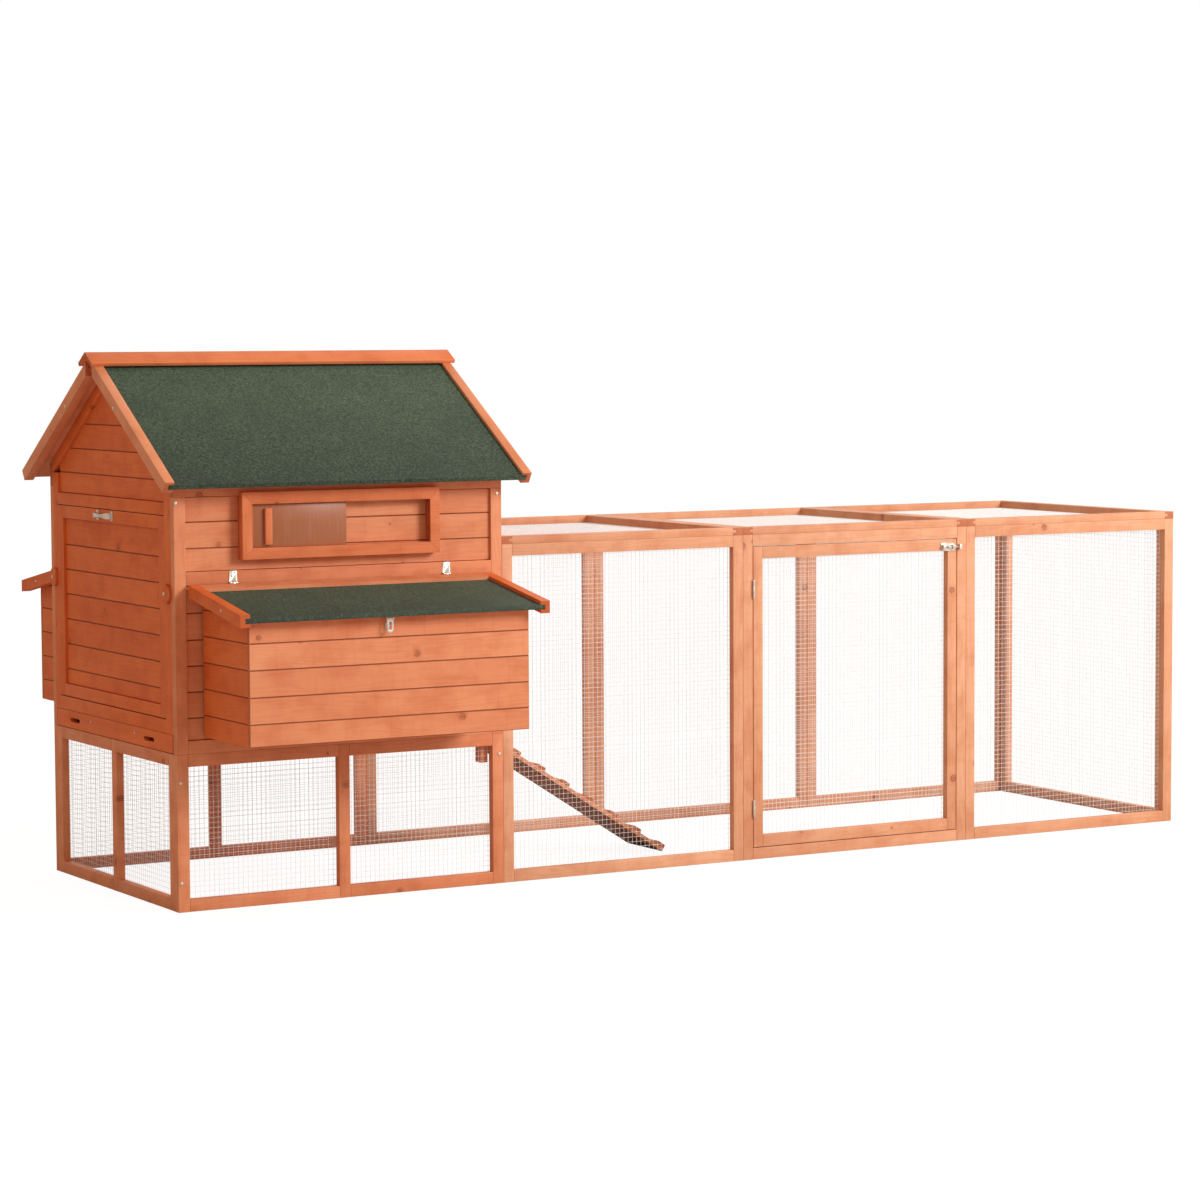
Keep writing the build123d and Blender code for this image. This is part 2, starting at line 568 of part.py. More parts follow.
with BuildPart() as door_handle:
    for side in (-1, 1):
        block((-2.0, 0.0), (HANDLE_Y + side * 45.0 - 7.0, HANDLE_Y + side * 45.0 + 7.0), (924.0, 948.0))
    with BuildSketch(Plane((LEFT, HANDLE_Y, HANDLE_Z - 5.0), x_dir=(0, 1, 0), z_dir=(0, 0, 1))):
        RectangleRounded(96.0, 34.0, 13.0)
        RectangleRounded(86.0, 24.0, 9.0, mode=Mode.SUBTRACT)
        with Locations((0, -30.0)):
            Rectangle(120.0, 60.0, mode=Mode.SUBTRACT)
    extrude(amount=10.0)

BUTTON_R = 23.5
BUTTON_FLAT = 12.5
BUTTON_Z = 765.0
BUTTONS = (("front", -359.0, 1), ("rear", 366.0, -1))


def turn_button(y, toward):
    """Adds a D-shaped button whose flat edge is turned to the door."""
    with BuildSketch(Plane((LEFT - 0.3, y, BUTTON_Z), x_dir=(0, toward, 0), z_dir=(-1, 0, 0))) as outline:
        Circle(BUTTON_R)
        with Locations((BUTTON_FLAT + BUTTON_R, 0)):
            Rectangle(2 * BUTTON_R, 3 * BUTTON_R, mode=Mode.SUBTRACT)
        Circle(2.27, mode=Mode.SUBTRACT)
    extrude(outline.sketch, amount=9.0)


with BuildPart() as button_front:
    turn_button(BUTTONS[0][1], BUTTONS[0][2])
    chamfer(button_front.faces().sort_by(Axis.X)[0].outer_wire().edges(), 1.2)

with BuildPart() as button_rear:
    turn_button(BUTTONS[1][1], BUTTONS[1][2])
    chamfer(button_rear.faces().sort_by(Axis.X)[0].outer_wire().edges(), 1.2)

with BuildPart() as button_screws:
    for name, y, toward in BUTTONS:
        cylinder(-5.0, y, BUTTON_Z, 2.2, 10.0, "X")
        cylinder(-10.6, y, BUTTON_Z, 4.6, 2.0, "X")

# ---------------------------------------------------------------- droppings tray
TRAY_LONG = 838.0
TRAY_HALF = 366.0
SLOTS = (-229.0, 253.5)

with BuildPart() as tray:
    with BuildSketch(Plane.YZ.offset(LEFT)):
        with Locations((0.0, (TRAY_Z[0] + TRAY_Z[1]) / 2)):
            Rectangle(750.0, TRAY_Z[1] - TRAY_Z[0])
        for y in SLOTS:
            with Locations((y, 403.0)):
                SlotOverall(64.0, 11.0, mode=Mode.SUBTRACT)
    extrude(amount=18.0)
    block((18.0 + SEAM, TRAY_LONG), (-TRAY_HALF, TRAY_HALF), (391.0, 394.0))
    for side in (-1, 1):
        low, high = sorted((side * TRAY_HALF, side * (TRAY_HALF - 8.0)))
        block((18.0 + SEAM, TRAY_LONG), (low, high), (394.0 + SEAM, 414.0))
    block((TRAY_LONG - 8.0, TRAY_LONG), (-TRAY_HALF + 8.2, TRAY_HALF - 8.2), (394.2, 414.0))

# ---------------------------------------------------------------- ramp
RAMP_AXIS = (HOUSE_L + 14.0, 388.8)
RAMP_NOSE = 12.0
RAMP_MID = (RAMP_Y[0] + RAMP_Y[1]) / 2
RAMP_WIDE = RAMP_Y[1] - RAMP_Y[0]
ramp_plane = Plane(
    (RAMP_AXIS[0] + LEFT, RAMP_MID, RAMP_AXIS[1]),
    x_dir=(cos(RAMP_SLOPE), 0, -sin(RAMP_SLOPE)),
    z_dir=(sin(RAMP_SLOPE), 0, cos(RAMP_SLOPE)),
)

with BuildPart() as ramp_board:
    with Locations(ramp_plane):
        with Locations((RAMP_LONG / 2 - RAMP_NOSE, 0, 0)):
            Box(RAMP_LONG, RAMP_WIDE, RAMP_T)
    for y in (RAMP_Y[0] + 6.0, RAMP_Y[1] - 6.0):
        cylinder(RAMP_AXIS[0], y, RAMP_AXIS[1], 3.05, 12.4, "Y", Mode.SUBTRACT)

CLEATS = 8
CLEAT_W = 28.0

with BuildPart() as ramp_cleats:
    with Locations(ramp_plane):
        for count in range(CLEATS):
            along = RAMP_LONG - RAMP_NOSE - CLEAT_W / 2 - count * RAMP_PITCH
            with Locations((along, 0, RAMP_T / 2 + 4.5)):
                Box(CLEAT_W, RAMP_WIDE, 9.0)
    upper = ramp_cleats.edges().filter_by(Axis.Y).filter_by(
        lambda edge: ramp_plane.to_local_coords(edge.center()).Z > RAMP_T / 2 + 8.0
    )
    fillet(upper, 4.0)

with BuildPart() as ramp_brackets:
    for outer, inner in ((RAMP_Y[0] - 4.0, RAMP_Y[0] - 1.0), (RAMP_Y[1] + 4.0, RAMP_Y[1] + 1.0)):
        low, high = sorted((outer, inner))
        block((HOUSE_L, HOUSE_L + 22.0), (low, high), (380.4, 399.0))
        toward = 1 if inner > outer else -1
        cylinder(RAMP_AXIS[0], inner + toward * 5.0, RAMP_AXIS[1], 3.0, 12.0, "Y")

# ---------------------------------------------------------------- run
STARTS = [HOUSE_L + SEAM + count * RUN_L for count in range(SECTIONS)]
RUN_Y = (-HALF, -INNER)

with BuildPart() as run_front:
    for start in STARTS:
        frame((start, start + RUN_L - SEAM), RUN_Y, (0.0, PANEL_H))

with BuildPart() as run_back:
    mirror(run_front.part, about=Plane.XZ)

with BuildPart() as run_end:
    for low in (-INNER + SEAM, INNER - W - SEAM):
        timber((RUN_END - T, RUN_END), (low, low + W), (0.0, PANEL_H))
    for foot in (0.0, PANEL_H - W):
        inside = (-INNER + W + 2 * SEAM, INNER - W - 2 * SEAM)
        timber((RUN_END - T, RUN_END), inside, (foot, foot + W))

TONGUE = 9.0
TONGUE_Z = (PANEL_H + 7.0, PANEL_H + 13.6)

with BuildPart() as run_roof:
    for start in STARTS:
        end = start + RUN_L - SEAM
        rise = (PANEL_H + SEAM, PANEL_H + T)
        for low in (start, end - W):
            timber((low, low + W), (-HALF, HALF), rise)
        for side in (-1, 1):
            rail = sorted((side * HALF, side * (HALF - W)))
            slot = sorted((side * (HALF + 1.0), side * (HALF - W - SEAM)))
            level = (TONGUE_Z[0] - SEAM, TONGUE_Z[1] + SEAM)
            block((start + W - TONGUE - SEAM, start + W + 1.0), slot, level, Mode.SUBTRACT)
            block((end - W - 1.0, end - W + TONGUE + SEAM), slot, level, Mode.SUBTRACT)
            timber((start + W + SEAM, end - W - SEAM), rail, rise)
            block((start + W - TONGUE, start + W + 2.0), rail, TONGUE_Z)
            block((end - W - 2.0, end - W + TONGUE), rail, TONGUE_Z)

DOOR = (STARTS[1] + W + 2.0, STARTS[1] + RUN_L - SEAM - W - 2.0)

with BuildPart() as run_mesh:
    for index, start in enumerate(STARTS):
        span = (start + 4.0, start + RUN_L - (26.0 if index == 2 else 5.0))
        block(span, (INNER - SHEET, INNER), (4.0, PANEL_H - 4.0))
        if index != 1:
            block(span, (-INNER, -INNER + SHEET), (4.0, PANEL_H - 4.0))
    end = (RUN_END - T - SHEET, RUN_END - T)
    block(end, (-INNER + 4.0, INNER - 4.0), (4.0, PANEL_H - 4.0))

with BuildPart() as run_roof_mesh:
    for start in STARTS:
        span = (start + 4.0, start + RUN_L - 5.0 - (T if start == STARTS[-1] else 0.0))
        block(span, (-INNER + 3.0, INNER - 3.0), (PANEL_H + SEAM - SHEET, PANEL_H + SEAM))

with BuildPart() as run_door:
    frame(DOOR, RUN_Y, (32.0, 823.2), 29.0, 31.0)

with BuildPart() as run_door_mesh:
    block((DOOR[0] + 4.0, DOOR[1] - 4.0), (-INNER, -INNER + SHEET), (36.0, 818.0))

# ---------------------------------------------------------------- run door hinges and bolt
HINGE_Z = ((112.0, 157.0), (689.0, 736.0))
POST_EDGE = STARTS[1] + W
PIN_X = POST_EDGE + 1.0
PIN_Y = FACE - 3.5


def door_hinge_half(leaf, parts, z):
    """Adds one half of a butt hinge whose leaf lies in the gap beside the door."""
    length = z[1] - z[0]
    block(leaf, (FACE + 0.6, FACE + 17.0), z)
    for start, end in parts:
        low = z[0] + start * length
        high = z[0] + end * length
        block(leaf, (PIN_Y, FACE + 0.6), (low, high))
        cylinder(PIN_X, PIN_Y, (low + high) / 2, KNUCKLE, high - low, "Z")


FIXED_LEAF = (POST_EDGE, POST_EDGE + 0.8)
MOVING_LEAF = (POST_EDGE + 1.2, POST_EDGE + 2.0)

with BuildPart() as door_hinges_fixed:
    for z in HINGE_Z:
        door_hinge_half(FIXED_LEAF, ((0.0, 0.3), (0.7, 1.0)), z)
        cylinder(PIN_X, PIN_Y, (z[0] + z[1]) / 2, 1.6, z[1] - z[0], "Z")

with BuildPart() as door_hinges_moving:
    for z in HINGE_Z:
        door_hinge_half(MOVING_LEAF, ((0.32, 0.68),), z)
        cylinder(PIN_X, PIN_Y, (z[0] + z[1]) / 2, 1.65, z[1] - z[0], "Z", Mode.SUBTRACT)

BOLT_Z = 802.0
BOLT_Y = FACE - 6.0
BOLT_R = 3.0
BOLT_TRAVEL = 12.0

with BuildPart() as bolt_case:
    block((2232.0, 2276.0), (FACE - 1.5, FACE), (BOLT_Z - 11.0, BOLT_Z + 11.0))
    for low in (2234.0, 2266.0):
        block((low, low + 8.0), (FACE - 11.0, FACE - 1.5), (BOLT_Z - 5.5, BOLT_Z + 5.5))
    cylinder(2255.0, BOLT_Y, BOLT_Z, BOLT_R + 0.08, 60.0, "X", Mode.SUBTRACT)

with BuildPart() as bolt_keeper:
    for low, high in ((-6.5, -3.4), (3.4, 6.5)):
        block((2287.5, 2296.0), (FACE - 11.0, FACE), (BOLT_Z + low, BOLT_Z + high))
    block((2287.5, 2296.0), (FACE - 11.0, FACE - 9.4), (BOLT_Z - 3.3, BOLT_Z + 3.3))

with BuildPart() as bolt_rod:
    cylinder(2259.5, BOLT_Y, BOLT_Z, BOLT_R, 47.0, "X")
    cylinder(2247.0, BOLT_Y - 7.0, BOLT_Z, 2.6, 14.0, "Y")

# ---------------------------------------------------------------- screws
with BuildPart() as screws:
    for x, z in ((5.0, 983.0), (873.0, 983.0), (8.0, 312.0), (8.0, 70.0), (875.0, 328.0)):
        screw(x, FACE, z, (0, -1, 0))
        screw(x, -FACE, z, (0, 1, 0))
    for face, outward in ((-OVERHANG, (-1, 0, 0)), (HOUSE_L + OVERHANG, (1, 0, 0))):
        for y in (-158.0, 158.0):
            screw(face, y, across_roof(abs(y), 21.0)[1], outward)

# ---------------------------------------------------------------- files
os.makedirs("parts", exist_ok=True)
base_front.part.label = "base_front"
export_step(base_front.part, "parts/base_front.step")
base_back.part.label = "base_back"
export_step(base_back.part, "parts/base_back.step")
base_left.part.label = "base_left"
export_step(base_left.part, "parts/base_left.step")
base_mesh.part.label = "base_mesh"
export_step(base_mesh.part, "parts/base_mesh.step")
wall_front.part.label = "wall_front"
export_step(wall_front.part, "parts/wall_front.step")
wall_back.part.label = "wall_back"
export_step(wall_back.part, "parts/wall_back.step")
planks_front.part.label = "planks_front"
export_step(planks_front.part, "parts/planks_front.step")
planks_back.part.label = "planks_back"
export_step(planks_back.part, "parts/planks_back.step")
gable_left.part.label = "gable_left"
export_step(gable_left.part, "parts/gable_left.step")
gable_left_planks.part.label = "gable_left_planks"
export_step(gable_left_planks.part, "parts/gable_left_planks.step")
gable_right.part.label = "gable_right"
export_step(gable_right.part, "parts/gable_right.step")
gable_right_planks.part.label = "gable_right_planks"
export_step(gable_right_planks.part, "parts/gable_right_planks.step")
house_floor.part.label = "house_floor"
export_step(house_floor.part, "parts/house_floor.step")
roosts.part.label = "roosts"
export_step(roosts.part, "parts/roosts.step")
roof_boards.part.label = "roof_boards"
export_step(roof_boards.part, "parts/roof_boards.step")
roof_felt.part.label = "roof_felt"
export_step(roof_felt.part, "parts/roof_felt.step")
roof_barges.part.label = "roof_barges"
export_step(roof_barges.part, "parts/roof_barges.step")
ridge_cap.part.label = "ridge_cap"
export_step(ridge_cap.part, "parts/ridge_cap.step")
window_frame.part.label = "window_frame"
export_step(window_frame.part, "parts/window_frame.step")
window_mesh.part.label = "window_mesh"
export_step(window_mesh.part, "parts/window_mesh.step")
window_pane.part.label = "window_pane"
export_step(window_pane.part, "parts/window_pane.step")
window_grip.part.label = "window_grip"
export_step(window_grip.part, "parts/window_grip.step")
nest_front.part.label = "nest_front"
export_step(nest_front.part, "parts/nest_front.step")
nest_back.part.label = "nest_back"
export_step(nest_back.part, "parts/nest_back.step")
nest_lid_front.part.label = "nest_lid_front"
export_step(nest_lid_front.part, "parts/nest_lid_front.step")
nest_lid_back.part.label = "nest_lid_back"
export_step(nest_lid_back.part, "parts/nest_lid_back.step")
nest_felt_front.part.label = "nest_felt_front"
export_step(nest_felt_front.part, "parts/nest_felt_front.step")
nest_felt_back.part.label = "nest_felt_back"
export_step(nest_felt_back.part, "parts/nest_felt_back.step")
lid_hinges_moving_front.part.label = "lid_hinges_moving_front"
export_step(lid_hinges_moving_front.part, "parts/lid_hinges_moving_front.step")
lid_hinges_moving_back.part.label = "lid_hinges_moving_back"
export_step(lid_hinges_moving_back.part, "parts/lid_hinges_moving_back.step")
latch_bracket_front.part.label = "latch_bracket_front"
export_step(latch_bracket_front.part, "parts/latch_bracket_front.step")
latch_bracket_back.part.label = "latch_bracket_back"
export_step(latch_bracket_back.part, "parts/latch_bracket_back.step")
latch_loop_front.part.label = "latch_loop_front"
export_step(latch_loop_front.part, "parts/latch_loop_front.step")
latch_loop_back.part.label = "latch_loop_back"
export_step(latch_loop_back.part, "parts/latch_loop_back.step")
gable_door.part.label = "gable_door"
export_step(gable_door.part, "parts/gable_door.step")
gable_door_planks.part.label = "gable_door_planks"
export_step(gable_door_planks.part, "parts/gable_door_planks.step")
door_handle.part.label = "door_handle"
export_step(door_handle.part, "parts/door_handle.step")
button_front.part.label = "button_front"
export_step(button_front.part, "parts/button_front.step")
button_rear.part.label = "button_rear"
export_step(button_rear.part, "parts/button_rear.step")
button_screws.part.label = "button_screws"
export_step(button_screws.part, "parts/button_screws.step")
tray.part.label = "tray"
export_step(tray.part, "parts/tray.step")
ramp_board.part.label = "ramp_board"
export_step(ramp_board.part, "parts/ramp_board.step")
ramp_cleats.part.label = "ramp_cleats"
export_step(ramp_cleats.part, "parts/ramp_cleats.step")
ramp_brackets.part.label = "ramp_brackets"
export_step(ramp_brackets.part, "parts/ramp_brackets.step")
run_front.part.label = "run_front"
export_step(run_front.part, "parts/run_front.step")
run_back.part.label = "run_back"
export_step(run_back.part, "parts/run_back.step")
run_end.part.label = "run_end"
export_step(run_end.part, "parts/run_end.step")
run_roof.part.label = "run_roof"
export_step(run_roof.part, "parts/run_roof.step")
run_mesh.part.label = "run_mesh"
export_step(run_mesh.part, "parts/run_mesh.step")
run_roof_mesh.part.label = "run_roof_mesh"
export_step(run_roof_mesh.part, "parts/run_roof_mesh.step")
run_door.part.label = "run_door"
export_step(run_door.part, "parts/run_door.step")
run_door_mesh.part.label = "run_door_mesh"
export_step(run_door_mesh.part, "parts/run_door_mesh.step")
door_hinges_fixed.part.label = "door_hinges_fixed"
export_step(door_hinges_fixed.part, "parts/door_hinges_fixed.step")
door_hinges_moving.part.label = "door_hinges_moving"
export_step(door_hinges_moving.part, "parts/door_hinges_moving.step")
bolt_case.part.label = "bolt_case"
export_step(bolt_case.part, "parts/bolt_case.step")
bolt_keeper.part.label = "bolt_keeper"
export_step(bolt_keeper.part, "parts/bolt_keeper.step")
bolt_rod.part.label = "bolt_rod"
export_step(bolt_rod.part, "parts/bolt_rod.step")
screws.part.label = "screws"
export_step(screws.part, "parts/screws.step")
latch_pegs.part.label = "latch_pegs"
export_step(latch_pegs.part, "parts/latch_pegs.step")
lid_hinges_fixed.part.label = "lid_hinges_fixed"
export_step(lid_hinges_fixed.part, "parts/lid_hinges_fixed.step")
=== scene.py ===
"""The chicken coop's looks: stained timber, felted roofs, welded wire and plated fittings."""

import json
import math

import bpy
import numpy as np
from mathutils import Matrix, Vector


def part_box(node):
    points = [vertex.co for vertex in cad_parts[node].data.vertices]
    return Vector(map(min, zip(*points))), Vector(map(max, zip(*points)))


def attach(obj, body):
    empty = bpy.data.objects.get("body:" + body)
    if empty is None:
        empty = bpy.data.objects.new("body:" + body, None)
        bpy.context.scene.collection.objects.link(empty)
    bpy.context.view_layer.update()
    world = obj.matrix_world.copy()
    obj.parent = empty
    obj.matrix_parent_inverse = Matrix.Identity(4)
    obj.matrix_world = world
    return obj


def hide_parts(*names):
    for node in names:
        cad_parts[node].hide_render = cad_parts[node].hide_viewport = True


bl_info = {
    "name": "Chicken Coop Looks",
    "version": (1, 0, 0),
    "blender": (4, 5, 0),
    "location": "3D View > Sidebar > Coop",
    "description": "Finishes the timber, felt, wire and fittings of a chicken coop",
    "category": "Object",
}

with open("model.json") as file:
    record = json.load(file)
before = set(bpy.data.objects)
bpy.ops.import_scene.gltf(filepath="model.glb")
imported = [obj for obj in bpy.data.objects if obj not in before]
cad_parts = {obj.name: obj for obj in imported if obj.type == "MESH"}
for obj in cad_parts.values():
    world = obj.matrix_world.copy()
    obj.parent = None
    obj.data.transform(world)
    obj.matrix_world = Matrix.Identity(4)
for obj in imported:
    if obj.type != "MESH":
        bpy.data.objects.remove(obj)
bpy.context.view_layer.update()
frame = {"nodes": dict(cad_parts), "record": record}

# Lengths are in metres, places and directions in the frame's own axes

# Cells along and across a board that may each hold a knot, per metre
KNOT_CELLS = (3.4, 10.0)
# Radius of the smallest knot, and how much bigger the biggest one is
KNOT_RADIUS = (0.0022, 0.0048)
# How fast the rings follow each other away from the heart, in radians per metre
RING_RATE = 1250.0
# Each timber starts its grain at its own place along the board, and its heart lies off its middle
FIRST_SEED = 100
GRAIN_SHIFT = 40.0
HEART_SHIFT = 0.02
# A face whose normal follows the grain this closely is a sawn end
END_FACE = 0.75
# A side face whose normal follows none of the timber's axes this closely is slanted
SQUARE_FACE = 0.96
SIDE_FACE = 0.3
# Points closer than this are one point, and faces within this angle are one face
SAME_POINT = 0.00002
SAME_FACE = math.radians(0.6)
# Edges flatter than this are shaded smooth
SMOOTH_ANGLE = math.radians(38.0)
# Felt: how far its folds are rounded, and how far from the middle its folded edge starts
FELT_FOLD = 0.0016
FELT_EDGES = {"roof_felt": 0.4615, "nest_felt_front": 0.7005, "nest_felt_back": 0.7005}
# Rounding of metal edges and of the pane's
FINE_EDGE = 0.0004
# Lid hinges: height and thickness of a wall leaf, its top corners' radius, and where its two screws
# are, as shares of its width and height
LEAF_TALL = 0.0278
LEAF_THICK = 0.001
LEAF_CORNER = 0.0055
# An edge that crosses a leaf's thickness is level in X, is longer than this in Y and lies near the top
LEVEL_EDGE = 0.0001
SHORT_EDGE = 0.0005
TOP_BAND = 0.0002
LEAF_SCREWS = ((0.28, 0.46), (0.68, 0.75))
# Pull handle: where it is cut across, as shares of half its length, and how its bow is drawn in and flared
HANDLE_CUTS = (-0.7, -0.45, -0.2, 0.0, 0.2, 0.45, 0.7)
HANDLE_BOW = 0.0065
HANDLE_WAIST = 0.75
HANDLE_FLARE = 1.15
HANDLE_FLARE_END = 0.85
# Screws: radius and height of the heads, and where they sit on the lids' barges and the tray's front
PAN_HEAD = (0.0034, 0.0020)
SMALL_HEAD = (0.0017, 0.0008)
LID_SCREW_OUT = 0.190
LID_SCREW_DROP = 0.048
TRAY_SCREW_Y = 0.142
TRAY_SCREW_UP = 0.028
# Crown of a head as a share of its height, and its cross recess as shares of radius, radius and height
HEAD_SIDES = 16
HEAD_CROWN = 0.45
HEAD_RECESS = (1.15, 0.26, 0.7)
# How far the crossed wires stand from a panel's middle, in wire radii
WIRE_STAND = 0.85
WIRE_SIDES = 6
# How an upright wire is turned to lie along X, Y or Z
WIRE_TURNS = ((0.0, math.pi / 2, 0.0), (math.pi / 2, 0.0, 0.0), (0.0, 0.0, 0.0))
# Studio: floor, lights and camera
FLOOR_SIZE = 160.0
FLOOR_DROP = 0.0005
FLOOR_COLOUR = (0.58, 0.54, 0.51, 1.0)
# How much of what the camera sees of the floor is white glow, and how strong the glow is
FLOOR_WHITE = 0.82
FLOOR_GLOW = 1.15
ROOM_TINT = (1.0, 0.84, 0.70, 1.0)
WHITE = (1.0, 1.0, 1.0, 1.0)
KEY_PLACE = (3.8, -6.2, 4.2)
KEY_AIM = (-3.4, 6.2, -3.8)
KEY_SIZE = 3.2
BACK_PLACE = (2.0, 6.0, 4.0)
BACK_AIM = (-0.3, -0.8, -0.5)
BACK_SPREAD = math.radians(40.0)
CAMERA_PLACE = (-4.7923, -8.1421, 1.3804)
# The camera's yaw from +Y towards +X, its pitch and its roll, in degrees
CAMERA_TURN = (30.034, -4.328, -0.275)
CAMERA_SENSOR = 36.0
CAMERA_REACH = 300.0

BODIES = frame["record"]["behaviour"]["bodies"]
BODY_OF = {node: body for body, nodes in BODIES.items() for node in nodes}


def nodes_of(slot):
    """Returns the CAD nodes that have a material slot, in the record's order."""
    return [part["node"] for part in frame["record"]["subparts"] if part["material_slot"] == slot]


# How deep the stain is by the first word of a node's name, from 0, pale, to 1, deep; the run's paleness is
# painted light and the gable's depth painted shade
STAINS_AND_SHADING = {
    "run": 0.03,
    "base": 0.46,
    "roof": 0.42,
    "ramp": 0.10,
    "gable": 0.93,
    "tray": 1.0,
    "window": 0.74,
    "ridge": 0.76,
}
HOUSE_STAIN = 0.47
# Painted shade: how much deeper the house's timbers that face the coop's ends are made
END_SHADE = 0.5
# A timber whose thinnest axis follows X this closely faces the coop's ends
FACES_END = 0.7
# Nodes with these words are boards, whose slanted faces are the grooves between them
BOARDS = ("planks", "nest")


# ---------------------------------------------------------------- materials

class Wire:
    """A socket of a material, with arithmetic that adds Math nodes."""

    def __init__(self, paint, socket):
        self.paint = paint
        self.socket = socket

    def maths(self, operation, *values):
        """Adds a Math node and returns its output."""
        return self.paint.add("ShaderNodeMath", {"operation": operation}, dict(enumerate(values)))

    def __add__(self, other):
        return self.maths("ADD", self, other)

    def __radd__(self, other):
        return self.maths("ADD", other, self)

    def __sub__(self, other):
        return self.maths("SUBTRACT", self, other)

    def __rsub__(self, other):
        return self.maths("SUBTRACT", other, self)

    def __mul__(self, other):
        return self.maths("MULTIPLY", self, other)

    def __rmul__(self, other):
        return self.maths("MULTIPLY", other, self)

    def __truediv__(self, other):
        return self.maths("DIVIDE", self, other)

    def __pow__(self, other):
        return self.maths("POWER", self, other)

    def fade(self, low, high):
        """Returns 0 below low and 1 above high, or the other way if low is the greater."""
        sockets = {"Value": self, "From Min": low, "From Max": high}
        return self.paint.add("ShaderNodeMapRange", {"interpolation_type": "SMOOTHSTEP"}, sockets)


class Paint:
    """A new material and its nodes."""

    def __init__(self, name):
        self.material = bpy.data.materials.new(name)
        self.material.use_nodes = True
        self.nodes = self.material.node_tree.nodes
        self.links = self.material.node_tree.links
        self.shader = self.nodes["Principled BSDF"]

    def add(self, kind, settings=None, sockets=None, out=0):
        """Adds a node with its settings made first, joins its sockets and returns one output."""
        node = self.nodes.new(kind)
        for key, value in (settings or {}).items():
            setattr(node, key, value)
        for key, value in (sockets or {}).items():
            self.join(node.inputs[key], value)
        return Wire(self, node.outputs[out])

    def join(self, socket, value):
        """Links a socket to a wire, or sets it to a plain value."""
        if isinstance(value, Wire):
            self.links.new(value.socket, socket)
        else:
            socket.default_value = value

    def mix(self, factor, first, second, blend="MIX"):
        """Mixes two colours."""
        settings = {"data_type": "RGBA", "blend_type": blend}
        return self.add("ShaderNodeMix", settings, {0: factor, 6: first, 7: second}, 2)

    def scaled(self, vector, factors):
        """Multiplies a vector by three plain numbers."""
        return self.add("ShaderNodeVectorMath", {"operation": "MULTIPLY"}, {0: vector, 1: factors})

    def noise(self, vector, scale, detail):
        """Adds fractal noise on a vector."""
        return self.add("ShaderNodeTexNoise", None, {"Vector": vector, "Scale": scale, "Detail": detail})

    def cells(self, vector, scale, dimensions, out):
        """Adds cells with one feature point each."""
        settings = {"voronoi_dimensions": dimensions, "feature": "F1"}
        return self.add("ShaderNodeTexVoronoi", settings, {"Vector": vector, "Scale": scale}, out)

    def axis(self, vector, name):
        """Returns one of a vector's three numbers."""
        return self.add("ShaderNodeSeparateXYZ", None, {0: vector}, name)

    def stored(self, name, out="Fac"):
        """Reads a number, or a vector, that is stored on the mesh."""
        return self.add("ShaderNodeAttribute", {"attribute_name": name}, None, out)

    def place(self):
        """Reads the place on the object."""
        return self.add("ShaderNodeTexCoord", None, None, "Object")

    def bump(self, height, strength, distance):
        """Turns a height into a bumped normal."""
        sockets = {"Height": height, "Strength": strength, "Distance": distance}
        return self.add("ShaderNodeBump", None, sockets)

    def finish(self, **sockets):
        """Joins the shader's own sockets; names use _ for a space."""
        for key, value in sockets.items():
            self.join(self.shader.inputs[key.replace("_", " ")], value)
        return self.material


def colour(value):
    """Returns a colour property as four numbers."""
    return (*value[:3], 1.0)


